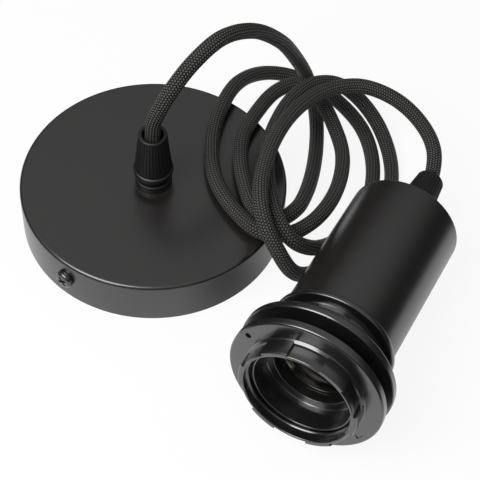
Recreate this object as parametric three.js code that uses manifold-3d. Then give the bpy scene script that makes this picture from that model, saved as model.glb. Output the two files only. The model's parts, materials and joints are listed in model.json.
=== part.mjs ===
// Pendant light: a ceiling canopy, a textile cord and a screw lamp holder with two shade rings.
// Millimetres, +Z up. The origin is on the canopy's axis, in the plane of its ceiling face.
// The canopy stands on its rim, the holder lies beside it, and the cord is looped between them.
import * as THREE from "three";
import { mergeVertices } from "three/addons/utils/BufferGeometryUtils.js";
import Module from "manifold-3d";

const wasm = await Module();
wasm.setup();

// Canopy: a pressed steel cup, open to the ceiling
const canopyRadius = 50;
const canopyHeight = 18.5;
const canopyWall = 1;
const canopyEdge = 1.2;
const canopyScrewAzimuth = 260.2;
const canopyScrewHeight = 10;

// Ceiling bracket, its side screws and the terminal block on it
const bracketWidth = 16;
const bracketThickness = 1.5;
const bracketEarHeight = 15.5;
const bracketBend = 2.5;
const bracketSlotLength = 13;
const bracketSlotWidth = 4.5;
const bracketSlotCentre = 34.5;
const sideScrewRadius = 2;
const sideScrewHeadRadius = 3.5;
const sideScrewHeadHeight = 2.2;
const sideScrewReach = 4.5;
const terminalCentre = -18;
const terminalLength = 16.5;
const terminalWidth = 17;
const terminalHeight = 11;
const terminalPolePitch = 8.5;
const terminalPortRadius = 1.6;
const terminalPortHeight = 4.4;
const terminalScrewRadius = 1.5;
const terminalScrewHeight = 3.2;
const terminalScrewOffset = 4.6;
const fixingScrewRadius = 1.2;
const fixingScrewHeadRadius = 2.2;
const fixingScrewHeadHeight = 1.4;

// Cord and its cores
const cordDiameter = 5.8;
const coreRadius = 1;
const coreSpread = 1.4;
const cordSides = 8;

// Cord grips, one on the canopy and one on the holder. Heights count from the face they stand on.
const gripCollarRadius = 6.9;
const gripCollarHeight = 3;
const gripStemRadius = 5;
const gripStemLength = 8;
const gripThreadRadius = 5.5;
const gripColletRadius = 4.3;
const gripColletHeight = 16.5;
const gripColletSlot = 0.8;
const gripCapBottom = 6.1;
const gripCapRimTop = 7.8;
const gripCapHeight = 25.9;
const gripCapRimRadius = 7.45;
const gripCapTopRadius = 5.3;
const gripCapBoreRadius = 3.85;
const gripRibCount = 18;
const gripRibDepth = 0.4;
const locknutAcrossFlats = 14;
const locknutHeight = 3;
const cordEndHeight = 7;

// Holder, along its own axis: 0 is the sleeve's closed end, and the mouth is the far end
const holderX = 91.26;
const holderY = 24.97;
const sleeveRadius = 20.75;
const sleeveLength = 61.85;
const sleeveWall = 0.8;
const domeWall = 2;
const domeLength = 42.6;
const flangeRadius = 22.5;
const flangeThickness = 2;
const barrelReach = 25.45;
const barrelBoreRadius = 17.54;
const barrelBoreDepth = 9;
const barrelThroatRadius = 14.4;

// Thread of the barrel and of the rings that run on it
const threadRadius = 19.1;
const threadDepth = 0.7;
const threadPitch = 3;
const threadRunout = 1;

// Shade rings: one moulding, used twice with the flat faces towards each other
const ringRadius = 28.1;
const ringThickness = 3;
const ringRimRadius = 1.5;
const ringHubRadius = 21.5;
const ringHubHeight = 6.6;
const ringToothCount = 6;
const ringToothAngle = 27;
const ringRecessDepth = 1;
const ringLedgeHeight = 1.2;
const ringMarkRadius = 25.5;
const ringHoleRadius = 0.9;
const ringHalfMoonRadius = 1.3;
const ringMarkDepth = 0.4;
const frontRingTurn = 150;
const middleRingTurn = 89;

// Share of the thread's spare length behind the middle ring, and between the two rings
const middleRingShare = 0.22;
const ringGapShare = 0.39;

// Lamp contacts
const shellRimDepth = 4.4;
const shellRimRadius = 13.9;
const shellMeanRadius = 12.95;
const shellWave = 0.5;
const shellPitch = 3.62;
const shellWall = 0.4;
const shellLipRadius = 10.5;
const carrierThickness = 5.5;
const carrierScrewSpread = 7;
const carrierScrewRadius = 1.5;
const carrierScrewHeadRadius = 2.6;
const carrierScrewHeadHeight = 1.6;
const carrierScrewDepth = 3.2;
const contactWidth = 5;
const contactThickness = 0.5;
const contactRise = 5;
const contactFoot = 4;

// Running gap between pieces, and how finely round forms are divided
const clearance = 0.3;
const wideSegments = 48;
const ringSegments = 28;
const hiddenSegments = 24;
const threadSegments = 24;
const shellSegments = 16;
const smallSegments = 14;
const tinySegments = 10;
const coreSides = 6;
const rowsPerPitch = 3;

const degrees = Math.PI / 180;
const fullTurn = 2 * Math.PI;

// Turns a closed outline of [radius, height] pairs about Z. The outline runs up on its outer side.
function turned(outline, segments) {
  const points = outline.map(([radius, height]) => new THREE.Vector2(radius, height));
  return new THREE.LatheGeometry(points, segments).rotateX(Math.PI / 2);
}

// Closes a ring's outline, which does not meet the axis.
function closed(outline) {
  return [...outline, outline[0]];
}

// Points of an arc in an outline, centred on [radius, height], from one angle to another.
function corner(centreRadius, centreHeight, size, fromAngle, toAngle, steps = 3) {
  return Array.from({ length: steps + 1 }, (unused, step) => {
    const angle = (fromAngle + ((toAngle - fromAngle) * step) / steps) * degrees;
    return [centreRadius + size * Math.cos(angle), centreHeight + size * Math.sin(angle)];
  });
}

function disc(radius, bottom, top, segments) {
  return turned([[0, bottom], [radius, bottom], [radius, top], [0, top]], segments);
}

function block(length, width, height, x, y, z) {
  return new THREE.BoxGeometry(length, width, height).translate(x, y, z);
}

// A three.js geometry as a solid that can be joined and cut.
function solid(geometry) {
  const bare = geometry.clone();
  bare.deleteAttribute("normal");
  bare.deleteAttribute("uv");
  const merged = mergeVertices(bare, 1e-4);
  const triVerts = [];
  for (let first = 0; first < merged.index.count; first += 3) {
    const corners = [0, 1, 2].map((offset) => merged.index.getX(first + offset));
    if (new Set(corners).size === 3) triVerts.push(...corners);
  }
  return new wasm.Manifold(
    new wasm.Mesh({
      numProp: 3,
      vertProperties: merged.attributes.position.array,
      triVerts: Uint32Array.from(triVerts),
    })
  );
}

function geometryOf(manifold) {
  const mesh = manifold.getMesh();
  const geometry = new THREE.BufferGeometry();
  geometry.setAttribute("position", new THREE.BufferAttribute(mesh.vertProperties, 3));
  geometry.setIndex(new THREE.BufferAttribute(mesh.triVerts, 1));
  return geometry;
}

function cut(geometry, ...tools) {
  const rest = tools.reduce((body, tool) => body.subtract(solid(tool)), solid(geometry));
  return geometryOf(rest);
}

// Heights of the rows that a thread needs between two ends.
function threadRows(from, to, pitch) {
  const count = Math.max(2, Math.round(((to - from) / pitch) * rowsPerPitch));
  return Array.from({ length: count + 1 }, (unused, row) => from + ((to - from) * row) / count);
}

// How deep a right-hand thread's groove is at a height and an angle, from 0 on the crest to 1.
function groove(height, angle, pitch, start) {
  const phase = height / pitch - angle / fullTurn + start;
  return (1 - Math.cos(fullTurn * phase)) / 2;
}

// Moves each vertex of a turned geometry in or out by what change(radius, height, angle) gives.
function reshaped(geometry, change) {
  const position = geometry.attributes.position;
  for (let index = 0; index < position.count; index += 1) {
    const x = position.getX(index);
    const y = position.getY(index);
    const radius = Math.hypot(x, y);
    if (radius > 0) {
      const scale = 1 + change(radius, position.getZ(index), Math.atan2(y, x)) / radius;
      position.setXY(index, x * scale, y * scale);
    }
  }
  return geometry;
}

function paint(color, roughness, metalness) {
  return new THREE.MeshStandardMaterial({ color, roughness, metalness });
}

function piece(name, geometry, material) {
  const mesh = new THREE.Mesh(geometry, material);
  mesh.name = name;
  return mesh;
}

const blackPaint = () => paint(0x2b2a28, 0.45, 0.2);
const blackPlastic = () => paint(0x1d1d1c, 0.4, 0);
const blackTextile = () => paint(0x141414, 0.9, 0);
const steel = () => paint(0xb4b6b8, 0.35, 1);
const brass = () => paint(0xc8a860, 0.3, 1);
const whiteCeramic = () => paint(0xe6e3da, 0.5, 0);
const clearPlastic = () => paint(0xd8dbd8, 0.4, 0);

// Canopy

function canopyGeometry() {
  const inner = canopyRadius - canopyWall;
  const innerEdge = canopyEdge - canopyWall * 0.5;
  const under = canopyHeight - canopyWall;
  const outline = [
    [0, under],
    ...corner(inner - innerEdge, under - innerEdge, innerEdge, 90, 0, 2),
    [inner, 0],
    [canopyRadius, 0],
    ...corner(canopyRadius - canopyEdge, canopyHeight - canopyEdge, canopyEdge, 0, 90, 3),
    [0, canopyHeight],
  ];
  const shell = turned(outline, wideSegments);
  const stemHole = disc(gripStemRadius + clearance, 0, canopyHeight + canopyWall, smallSegments);
  const screwHole = disc(sideScrewRadius + clearance, -2 * canopyRadius, 2 * canopyRadius, tinySegments);
  screwHole.rotateY(Math.PI / 2).rotateZ(canopyScrewAzimuth * degrees);
  screwHole.translate(0, 0, canopyScrewHeight);
  return cut(shell, stemHole, screwHole);
}

// The bracket is a flat strip whose ends stand up behind the canopy's side screws.
const earOuter = Math.sqrt((canopyRadius - canopyWall) ** 2 - (bracketWidth / 2) ** 2) - clearance;

function bracketGeometry() {
  const innerBend = bracketBend - bracketThickness;
  const side = new THREE.Shape();
  side.moveTo(-earOuter, bracketEarHeight);
  side.lineTo(-earOuter, bracketBend);
  side.absarc(-earOuter + bracketBend, bracketBend, bracketBend, Math.PI, 1.5 * Math.PI);
  side.lineTo(earOuter - bracketBend, 0);
  side.absarc(earOuter - bracketBend, bracketBend, bracketBend, 1.5 * Math.PI, fullTurn);
  side.lineTo(earOuter, bracketEarHeight);
  side.lineTo(earOuter - bracketThickness, bracketEarHeight);
  side.lineTo(earOuter - bracketThickness, bracketBend);
  side.absarc(earOuter - bracketBend, bracketBend, innerBend, 0, -0.5 * Math.PI, true);
  side.lineTo(-earOuter + bracketBend, bracketThickness);
  side.absarc(-earOuter + bracketBend, bracketBend, innerBend, 1.5 * Math.PI, Math.PI, true);
  side.lineTo(-earOuter + bracketThickness, bracketEarHeight);
  const strip = new THREE.ExtrudeGeometry(side, { depth: bracketWidth, bevelEnabled: false, curveSegments: 3 });
  strip.rotateX(Math.PI / 2).translate(0, bracketWidth / 2, 0);
  const slotEnd = bracketSlotWidth / 2;
  const slotStraight = bracketSlotLength / 2 - slotEnd;
  const slot = new THREE.Shape();
  slot.absarc(slotStraight, 0, slotEnd, -0.5 * Math.PI, 0.5 * Math.PI);
  slot.absarc(-slotStraight, 0, slotEnd, 0.5 * Math.PI, 1.5 * Math.PI);
  const slots = [-1, 1].map((end) => {
    const tool = new THREE.ExtrudeGeometry(slot, { depth: 3 * bracketThickness, bevelEnabled: false, curveSegments: 6 });
    return tool.translate(end * bracketSlotCentre, 0, -bracketThickness);
  });
  const earHole = disc(sideScrewRadius + clearance, -canopyRadius, canopyRadius, tinySegments);
  earHole.rotateY(Math.PI / 2).translate(0, 0, canopyScrewHeight);
  const fixingHole = disc(fixingScrewRadius + clearance, -bracketThickness, 2 * bracketThickness, tinySegments);
  fixingHole.translate(terminalCentre, 0, 0);
  return cut(strip, ...slots, earHole, fixingHole);
}

// A pan-head screw that points down from the origin, with a cross recess in its head.
function panScrew(shankRadius, shankLength, headRadius, headHeight) {
  const crown = headRadius * 0.45;
  const outline = [
    [0, -shankLength],
    [shankRadius, -shankLength],
    [shankRadius, 0],
    [headRadius, 0],
    [headRadius, headHeight * 0.35],
    [headRadius * 0.85, headHeight * 0.8],
    [crown, headHeight],
    [0, headHeight],
  ];
  const recessDepth = headHeight * 0.6;
  const recessLength = headRadius * 1.2;
  const recessWidth = headRadius * 0.28;
  const recessZ = headHeight;
  return cut(
    turned(outline, tinySegments),
    block(recessLength, recessWidth, 2 * recessDepth, 0, 0, recessZ),
    block(recessWidth, recessLength, 2 * recessDepth, 0, 0, recessZ)
  );
}

function terminalBlockGeometry() {
  const bottom = bracketThickness + clearance;
  const top = bottom + terminalHeight;
  const body = block(terminalLength, terminalWidth, terminalHeight, terminalCentre, 0, bottom + terminalHeight / 2);
  const portZ = bottom + terminalPortHeight;
  const tools = [];
  for (const side of [-1, 1]) {
    const y = (side * terminalPolePitch) / 2;
    const port = disc(terminalPortRadius, -terminalLength, terminalLength, tinySegments);
    tools.push(port.rotateY(Math.PI / 2).translate(terminalCentre, y, portZ));
    for (const end of [-1, 1]) {
      const well = disc(terminalScrewRadius + clearance, portZ, top + terminalHeight, tinySegments);
      tools.push(well.translate(terminalCentre + end * terminalScrewOffset, y, 0));
    }
  }
  const shoulder = disc(fixingScrewHeadRadius + clearance, bottom + 3, top + terminalHeight, tinySegments);
  const fixingHole = disc(fixingScrewRadius + clearance, -terminalHeight, top, tinySegments);
  tools.push(shoulder.translate(terminalCentre, 0, 0), fixingHole.translate(terminalCentre, 0, 0));
  return cut(body, ...tools);
}

// Cord grip: a gland body with a slotted collet, a ribbed cap over it and a locknut

function gripBodyGeometry() {
  const bore = cordDiameter / 2 + clearance;
  const threadTop = gripColletHeight - 5;
  const outline = closed([
    [bore, -gripStemLength],
    [gripStemRadius, -gripStemLength],
    [gripStemRadius, clearance],
    [gripCollarRadius, clearance],
    ...corner(gripCollarRadius - 0.4, gripCollarHeight - 0.4, 0.4, 0, 90, 2),
    [gripThreadRadius, gripCollarHeight],
    [gripThreadRadius, threadTop],
    [gripColletRadius, threadTop + 0.8],
    [gripColletRadius, gripColletHeight],
    [bore, gripColletHeight],
  ]);
  const slotLength = gripColletHeight - threadTop - 0.8;
  const slotZ = gripColletHeight;
  return cut(
    turned(outline, smallSegments),
    block(3 * gripColletRadius, gripColletSlot, 2 * slotLength, 0, 0, slotZ),
    block(gripColletSlot, 3 * gripColletRadius, 2 * slotLength, 0, 0, slotZ)
  );
}

// The cap is a hollow cone. Every second line of its sides is drawn in to leave fine upright ribs.
function gripCapGeometry() {
  const boreRadius = gripCapBoreRadius;
  const skirtRadius = gripThreadRadius + clearance;
  const skirtTop = gripColletHeight - 4;
  const throat = gripColletHeight + 3.5;
  const ribBottom = gripCapRimTop + 0.5;
  const ribTop = gripCapHeight - 0.7;
  const slope = (gripCapRimRadius - gripCapTopRadius) / (gripCapHeight - gripCapRimTop);
  const sideRadius = (height) => gripCapRimRadius - slope * (height - gripCapRimTop);
  const outline = closed([
    [skirtRadius, gripCapBottom],
    [gripCapRimRadius, gripCapBottom],
    [gripCapRimRadius, gripCapRimTop],
    [sideRadius(ribBottom), ribBottom],
    [sideRadius(ribTop), ribTop],
    [gripCapTopRadius - 0.5, gripCapHeight],
    [boreRadius, gripCapHeight],
    [boreRadius, throat],
    [skirtRadius, skirtTop],
  ]);
  const columnAngle = fullTurn / (2 * gripRibCount);
  return reshaped(turned(outline, 2 * gripRibCount), (radius, height, angle) => {
    const onSide = radius > sideRadius(height) - 0.01 && height >= ribBottom && height <= ribTop;
    const column = Math.round(angle / columnAngle);
    return onSide && column % 2 !== 0 ? -gripRibDepth : 0;
  });
}

function locknutGeometry() {
  const hexagon = new THREE.Shape();
  const cornerRadius = locknutAcrossFlats / 2 / Math.cos(Math.PI / 6);
  for (let side = 0; side < 6; side += 1) {
    const angle = (side * Math.PI) / 3;
    const place = [cornerRadius * Math.cos(angle), cornerRadius * Math.sin(angle)];
    if (side === 0) hexagon.moveTo(...place);
    else hexagon.lineTo(...place);
  }
  hexagon.closePath();
  const hole = new THREE.Path().absarc(0, 0, gripStemRadius + clearance, 0, fullTurn, true);
  hexagon.holes.push(hole);
  return new THREE.ExtrudeGeometry(hexagon, { depth: locknutHeight, bevelEnabled: false, curveSegments: 8 });
}

// Holder

// Along the holder's axis: where each inner piece starts, worked out from what it seats on
const sleeveInner = sleeveRadius - sleeveWall;
const insertRadius = sleeveInner - clearance;
const domeBottom = sleeveWall + clearance;
const domeTop = domeBottom + domeLength;
const barrelBottom = domeTop + clearance;
const flangeBottom = sleeveLength + clearance;
const flangeTop = flangeBottom + flangeThickness;
const carrierBottom = barrelBottom;
const carrierTop = carrierBottom + carrierThickness;
const shellBottom = carrierTop + clearance;
const barrelMouth = flangeBottom + barrelReach;
const barrelLedge = barrelMouth - barrelBoreDepth;
const shellRimPlace = barrelLedge - shellRimDepth;
const ringHeight = ringThickness + ringHubHeight;
const spareThread = barrelMouth - flangeTop - ringHeight;
const middleRingPlace = flangeTop + ringHeight + middleRingShare * spareThread;
const frontRingPlace = middleRingPlace + ringGapShare * spareThread;

function sleeveGeometry() {
  const edge = sleeveWall;
  const outline = closed([
    [gripStemRadius + clearance, 0],
    ...corner(sleeveRadius - edge, edge, edge, -90, 0, 2),
    [sleeveRadius, sleeveLength],
    [sleeveInner, sleeveLength],
    [sleeveInner, sleeveWall],
    [gripStemRadius + clearance, sleeveWall],
  ]);
  return turned(outline, wideSegments);
}

function domeGeometry() {
  const outline = closed([
    [gripStemRadius + clearance, domeBottom],
    ...corner(insertRadius - domeWall, domeBottom + domeWall, domeWall, -90, 0, 2),
    [insertRadius, domeTop],
    [insertRadius - domeWall, domeTop],
    [insertRadius - domeWall, domeBottom + domeWall],
    [gripStemRadius + clearance, domeBottom + domeWall],
  ]);
  return turned(outline, hiddenSegments);
}

// The barrel carries the lamp's screw shell inside and the long thread for the shade rings outside.
function barrelGeometry() {
  const rootRadius = threadRadius - threadDepth;
  const threadBottom = flangeTop + threadRunout;
  const threadTop = barrelMouth - threadRunout;
  const outline = closed([
    [barrelThroatRadius, barrelBottom],
    [insertRadius, barrelBottom],
    [insertRadius, flangeBottom],
    [flangeRadius - 0.5, flangeBottom],
    [flangeRadius, flangeBottom + 0.5],
    [flangeRadius, flangeTop - 0.5],
    [flangeRadius - 0.5, flangeTop],
    [rootRadius, flangeTop],
    ...threadRows(threadBottom, threadTop, threadPitch).map((height) => [threadRadius, height]),
    [rootRadius, barrelMouth - 0.3],
    [rootRadius - 0.3, barrelMouth],
    [barrelBoreRadius + 0.3, barrelMouth],
    [barrelBoreRadius, barrelMouth - 0.3],
    [barrelBoreRadius, barrelLedge],
    [barrelThroatRadius + 0.5, barrelLedge],
    [barrelThroatRadius, barrelLedge - 0.5],
  ]);
  return reshaped(turned(outline, threadSegments), (radius, height, angle) => {
    const onThread = radius > threadRadius - 0.01 && height > flangeTop;
    return onThread ? -threadDepth * groove(height, angle, threadPitch, 0) : 0;
  });
}

// Shade ring, flat face at 0 and hub towards +Z. Its thread starts where the barrel's passes.
function shadeRingGeometry(threadStart) {
  const outerRadius = threadRadius + clearance;
  const rimCentre = ringRadius - ringRimRadius;
  const boreRows = threadRows(0.4, ringHeight - 0.4, threadPitch).reverse();
  const outline = closed([
    [outerRadius + 0.4, 0],
    [ringRadius - 0.3, 0],
    [ringRadius, 0.3],
    ...corner(rimCentre, ringThickness - ringRimRadius, ringRimRadius, 0, 90),
    [ringHubRadius + 0.3, ringThickness],
    [ringHubRadius, ringThickness + 0.3],
    [ringHubRadius, ringHeight - 0.4],
    [ringHubRadius - 0.4, ringHeight],
    [outerRadius + 0.4, ringHeight],
    ...boreRows.map((height) => [outerRadius, height]),
  ]);
  const ring = reshaped(turned(outline, ringSegments), (radius, height, angle) => {
    const onThread = Math.abs(radius - outerRadius) < 0.01;
    return onThread ? -threadDepth * groove(height, angle, threadPitch, threadStart) : 0;
  });
  const recessAngle = fullTurn / ringToothCount - ringToothAngle * degrees;
  const recessBottom = ringThickness + ringLedgeHeight;
  const recesses = Array.from({ length: ringToothCount }, (unused, index) => {
    const middle = (index * fullTurn) / ringToothCount;
    const sector = new THREE.Shape();
    sector.absarc(0, 0, ringHubRadius + 1, middle - recessAngle / 2, middle + recessAngle / 2);
    sector.absarc(0, 0, ringHubRadius - ringRecessDepth, middle + recessAngle / 2, middle - recessAngle / 2, true);
    const tool = new THREE.ExtrudeGeometry(sector, { depth: ringHubHeight, bevelEnabled: false, curveSegments: 5 });
    return tool.translate(0, 0, recessBottom);
  });
  const hole = disc(ringHoleRadius, ringThickness / 3, 2 * ringThickness, tinySegments);
  hole.translate(ringMarkRadius, 0, 0);
  const halfMoon = new THREE.Shape().absarc(0, 0, ringHalfMoonRadius, -0.5 * Math.PI, 0.5 * Math.PI);
  const mark = new THREE.ExtrudeGeometry(halfMoon, { depth: ringThickness, bevelEnabled: false, curveSegments: 6 });
  mark.translate(-ringMarkRadius - ringHalfMoonRadius / 2, 0, ringThickness - ringMarkDepth);
  return cut(ring, ...recesses, hole, mark);
}

// Screw shell for the lamp: thin metal with the thread rolled into it, flared at the rim.
function shellGeometry() {
  const outerRadius = shellMeanRadius + shellWave / 2 + shellWall / 2;
  const innerRadius = outerRadius - shellWall;
  const waveBottom = shellBottom + 2;
  const waveTop = shellRimPlace - 2;
  const rows = threadRows(waveBottom, waveTop, shellPitch);
  const outline = closed([
    [shellLipRadius, shellBottom],
    [outerRadius, shellBottom],
    ...rows.map((height) => [outerRadius, height]),
    [shellRimRadius, shellRimPlace],
    [shellRimRadius - shellWall, shellRimPlace],
    ...rows.map((height) => [innerRadius, height]).reverse(),
    [innerRadius, shellBottom + shellWall],
    [shellLipRadius, shellBottom + shellWall],
  ]);
  return reshaped(turned(outline, shellSegments), (radius, height, angle) => {
    const onWave = height > waveBottom - 0.01 && height < waveTop + 0.01;
    return onWave ? -shellWave * groove(height, angle, shellPitch, 0) : 0;
  });
}

function carrierGeometry() {
  const radius = barrelThroatRadius - clearance;
  const outline = [
    [0, carrierBottom],
    [radius, carrierBottom],
    [radius, carrierTop - 0.5],
    [radius - 0.5, carrierTop],
    [0, carrierTop],
  ];
  const holes = [-1, 1].map((side) => {
    const top = carrierBottom + carrierScrewDepth + clearance;
    const hole = disc(carrierScrewRadius + clearance, carrierBottom - 1, top, tinySegments);
    return hole.translate(side * carrierScrewSpread, 0, 0);
  });
  return cut(turned(outline, hiddenSegments), ...holes);
}

// Centre contact: a bent spring strip, with its foot on the carrier and its tongue on the axis.
function contactGeometry() {
  const foot = carrierTop + clearance;
  const tip = foot + contactRise;
  const side = new THREE.Shape();
  side.moveTo(-contactFoot * 1.5, foot);
  side.lineTo(contactFoot * 0.4, foot);
  side.quadraticCurveTo(contactFoot, foot, contactFoot * 0.9, foot + contactRise * 0.3);
  side.quadraticCurveTo(contactFoot * 0.5, tip, -contactFoot * 0.7, tip);
  side.lineTo(-contactFoot * 0.7, tip - contactThickness);
  side.quadraticCurveTo(
    contactFoot * 0.4, tip - contactThickness, contactFoot * 0.75, foot + contactRise * 0.3
  );
  side.quadraticCurveTo(contactFoot * 0.8, foot + contactThickness, contactFoot * 0.3, foot + contactThickness);
  side.lineTo(-contactFoot * 1.5, foot + contactThickness);
  side.closePath();
  const strip = new THREE.ExtrudeGeometry(side, { depth: contactWidth, bevelEnabled: false, curveSegments: 5 });
  return strip.rotateX(Math.PI / 2).translate(0, contactWidth / 2, 0);
}

// A round tube through a list of points, with one section at each point.
class Route extends THREE.CatmullRomCurve3 {
  constructor(points) {
    super(points.map((point) => new THREE.Vector3(...point)), false, "centripetal");
  }
  getUtoTmapping(share) {
    return share;
  }
}

function tube(points, radius, sides, stepsPerSpan = 1) {
  const section = new THREE.Shape();
  for (let side = 0; side < sides; side += 1) {
    const angle = (side * fullTurn) / sides;
    const place = [radius * Math.cos(angle), radius * Math.sin(angle)];
    if (side === 0) section.moveTo(...place);
    else section.lineTo(...place);
  }
  section.closePath();
  const steps = (points.length - 1) * stepsPerSpan;
  return new THREE.ExtrudeGeometry(section, { steps, extrudePath: new Route(points), bevelEnabled: false });
}

// The cord's route, from inside the canopy's grip to inside the holder's grip
const cordRoute = [
  [0, 0, 25.5], [0, 0, 35], [0, 0, 44.5], [0.5, 0.1, 51], [2.1, 1.8, 57], [4.9, 6.4, 65], [8.4, 14.9, 72],
  [12.2, 27.3, 74.5], [16.5, 43.2, 67], [20.9, 59.2, 50.5], [23.5, 71, 32], [26.5, 76.5, 18.5], [31, 75, 10],
  [37, 66, 7.5], [43.5, 52, 9.5], [49.5, 35, 14], [53, 20.5, 18.5], [53.8, 11, 21.6], [51, 4, 22],
  [45.5, 1.5, 22.2], [39.5, 4.2, 22], [33, 11, 21.8], [26, 20.5, 21.8], [20.5, 33, 22], [19.5, 47.5, 22],
  [21, 60, 21.8], [25.5, 67, 21.8], [31.5, 68.8, 21.7], [38, 66.5, 19], [45.5, 61.5, 15.5],
  [54, 52.5, 13], [60, 38, 15], [62.5, 21, 18.5], [60.8, 8, 20.5], [56, -1, 21.7], [47.5, -4.8, 22],
  [35.5, -1, 21.8], [22, 8.5, 21.8], [12.5, 22.5, 21.8], [7, 38.5, 22], [5.5, 56.5, 21.3],
  [9.5, 73, 14.5], [18.5, 82, 9], [30.5, 84.5, 5.5], [43, 81.5, 3.5], [55, 73.5, 3.2], [65, 60, 3.2],
  [71, 43, 3.8], [71.5, 25, 7], [69.5, 10.5, 11.5], [65.5, 0, 18.5], [59.8, -5, 25.5],
  [53, -2.5, 29.3], [46.5, 4.5, 30.2], [39, 15.5, 29.8], [33.5, 28, 29], [31, 40.5, 29],
  [31, 53, 29.5], [34.5, 65, 28.5], [41, 74, 23.5], [49, 79, 14.5], [59, 77, 7], [69.5, 66.5, 3.2],
  [76.5, 51, 3.2], [77.6, 35.5, 3.2], [74.4, 21.5, 3.2], [70.8, 8, 4.9], [68.4, -5, 10.5],
  [64.2, -13, 19], [57.5, -13, 28], [50, -8.5, 34], [42.5, 3, 36], [37.5, 19.5, 36.2],
  [36, 41.5, 34.5], [40.5, 60.5, 31.5], [51, 72.5, 29], [65, 75.5, 26], [78, 71.5, 23],
  [87, 63.5, 20.5], [91.3, 51, 18], [91.26, 41.9, 18.9], [91.26, 31.9, 19.9],
];

const pendant = new THREE.Group();

// Canopy and what it holds
pendant.add(piece("canopy", canopyGeometry(), blackPaint()));

const bracketGroup = new THREE.Group();
bracketGroup.rotation.z = canopyScrewAzimuth * degrees;
bracketGroup.add(piece("ceiling_bracket", bracketGeometry(), steel()));
const headSeat = canopyRadius + clearance;
const sideShank = headSeat - earOuter + bracketThickness + sideScrewReach - canopyWall;
for (const [name, end] of [["canopy_screw_front", 1], ["canopy_screw_rear", -1]]) {
  const geometry = panScrew(sideScrewRadius, sideShank, sideScrewHeadRadius, sideScrewHeadHeight);
  const screw = piece(name, geometry, blackPaint());
  screw.rotation.y = (end * Math.PI) / 2;
  screw.position.set(end * headSeat, 0, canopyScrewHeight);
  bracketGroup.add(screw);
}
bracketGroup.add(piece("terminal_block", terminalBlockGeometry(), clearPlastic()));
const terminalBottom = bracketThickness + clearance;
const portZ = terminalBottom + terminalPortHeight;
const screwFoot = portZ + terminalPortRadius + clearance;
let terminalNumber = 0;
for (const side of [-1, 1]) {
  const y = (side * terminalPolePitch) / 2;
  for (const end of [-1, 1]) {
    terminalNumber += 1;
    const geometry = disc(terminalScrewRadius, 0, terminalScrewHeight, tinySegments);
    const slot = block(3 * terminalScrewRadius, 0.6, 1.6, 0, 0, terminalScrewHeight);
    const screw = piece(`terminal_screw_${terminalNumber}`, cut(geometry, slot), steel());
    screw.position.set(terminalCentre + end * terminalScrewOffset, y, screwFoot);
    bracketGroup.add(screw);
  }
}
const fixingSeat = terminalBottom + 3 + clearance;
const fixingGeometry = panScrew(
  fixingScrewRadius, fixingSeat - clearance, fixingScrewHeadRadius, fixingScrewHeadHeight
);
const fixingScrew = piece("terminal_block_screw", fixingGeometry, steel());
fixingScrew.position.set(terminalCentre, 0, fixingSeat);
bracketGroup.add(fixingScrew);
const coreTop = canopyHeight + cordEndHeight - clearance;
const stemEnd = canopyHeight - gripStemLength;
const portFace = terminalCentre + terminalLength / 2;
for (const [name, side] of [["canopy_core_1", -1], ["canopy_core_2", 1]]) {
  const spread = side * coreSpread;
  const pole = (side * terminalPolePitch) / 2;
  const route = [
    [0, spread, coreTop],
    [0, spread, stemEnd],
    [portFace * 0.35, spread * 1.4, portZ + 1.6],
    [portFace * 0.75, pole * 0.9, portZ],
    [portFace - 2, pole, portZ],
  ];
  bracketGroup.add(piece(name, tube(route, coreRadius, coreSides, 3), blackPlastic()));
}
pendant.add(bracketGroup);

// A grip on a face at the origin of its group, with the locknut behind the plates it clamps
function addGrip(group, prefix, clampedThickness) {
  group.add(piece(`${prefix}_grip_body`, gripBodyGeometry(), blackPlastic()));
  group.add(piece(`${prefix}_grip_cap`, gripCapGeometry(), blackPlastic()));
  const nut = piece(`${prefix}_locknut`, locknutGeometry(), steel());
  nut.position.z = -clampedThickness - clearance - locknutHeight;
  group.add(nut);
}

const canopyGrip = new THREE.Group();
canopyGrip.position.z = canopyHeight;
addGrip(canopyGrip, "canopy", canopyWall);
pendant.add(canopyGrip);

pendant.add(piece("cord", tube(cordRoute, cordDiameter / 2, cordSides), blackTextile()));

// The holder rests on the sleeve's rounded edge and on the rounded rim of the middle ring.
// Its tilt and height follow from the two arcs, which both touch the table.
const backArc = { radius: sleeveRadius - sleeveWall, place: sleeveWall, size: sleeveWall };
const rimArc = {
  radius: ringRadius - ringRimRadius,
  place: middleRingPlace - ringThickness + ringRimRadius,
  size: ringRimRadius,
};
const arcDistance = Math.hypot(rimArc.radius - backArc.radius, rimArc.place - backArc.place);
const tilt =
  Math.atan2(rimArc.radius - backArc.radius, rimArc.place - backArc.place) +
  Math.asin((rimArc.size - backArc.size) / arcDistance);
const holderZ = backArc.radius * Math.cos(tilt) + backArc.size - backArc.place * Math.sin(tilt);

const holder = new THREE.Group();
holder.position.set(holderX, holderY, holderZ);
holder.rotation.x = Math.PI / 2 - tilt;

holder.add(piece("holder_sleeve", sleeveGeometry(), blackPaint()));
holder.add(piece("holder_dome", domeGeometry(), blackPlastic()));
holder.add(piece("holder_barrel", barrelGeometry(), blackPlastic()));

// Each ring's thread start follows from its place and turn on the barrel.
const frontStart = frontRingPlace / threadPitch - frontRingTurn / 360;
const frontRing = piece("shade_ring_front", shadeRingGeometry(frontStart), blackPlastic());
frontRing.position.z = frontRingPlace;
frontRing.rotation.z = frontRingTurn * degrees;
holder.add(frontRing);

const middleStart = -middleRingPlace / threadPitch - middleRingTurn / 360;
const middleRing = piece("shade_ring_middle", shadeRingGeometry(middleStart), blackPlastic());
middleRing.position.z = middleRingPlace;
middleRing.rotation.set(Math.PI, 0, middleRingTurn * degrees);
holder.add(middleRing);

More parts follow.
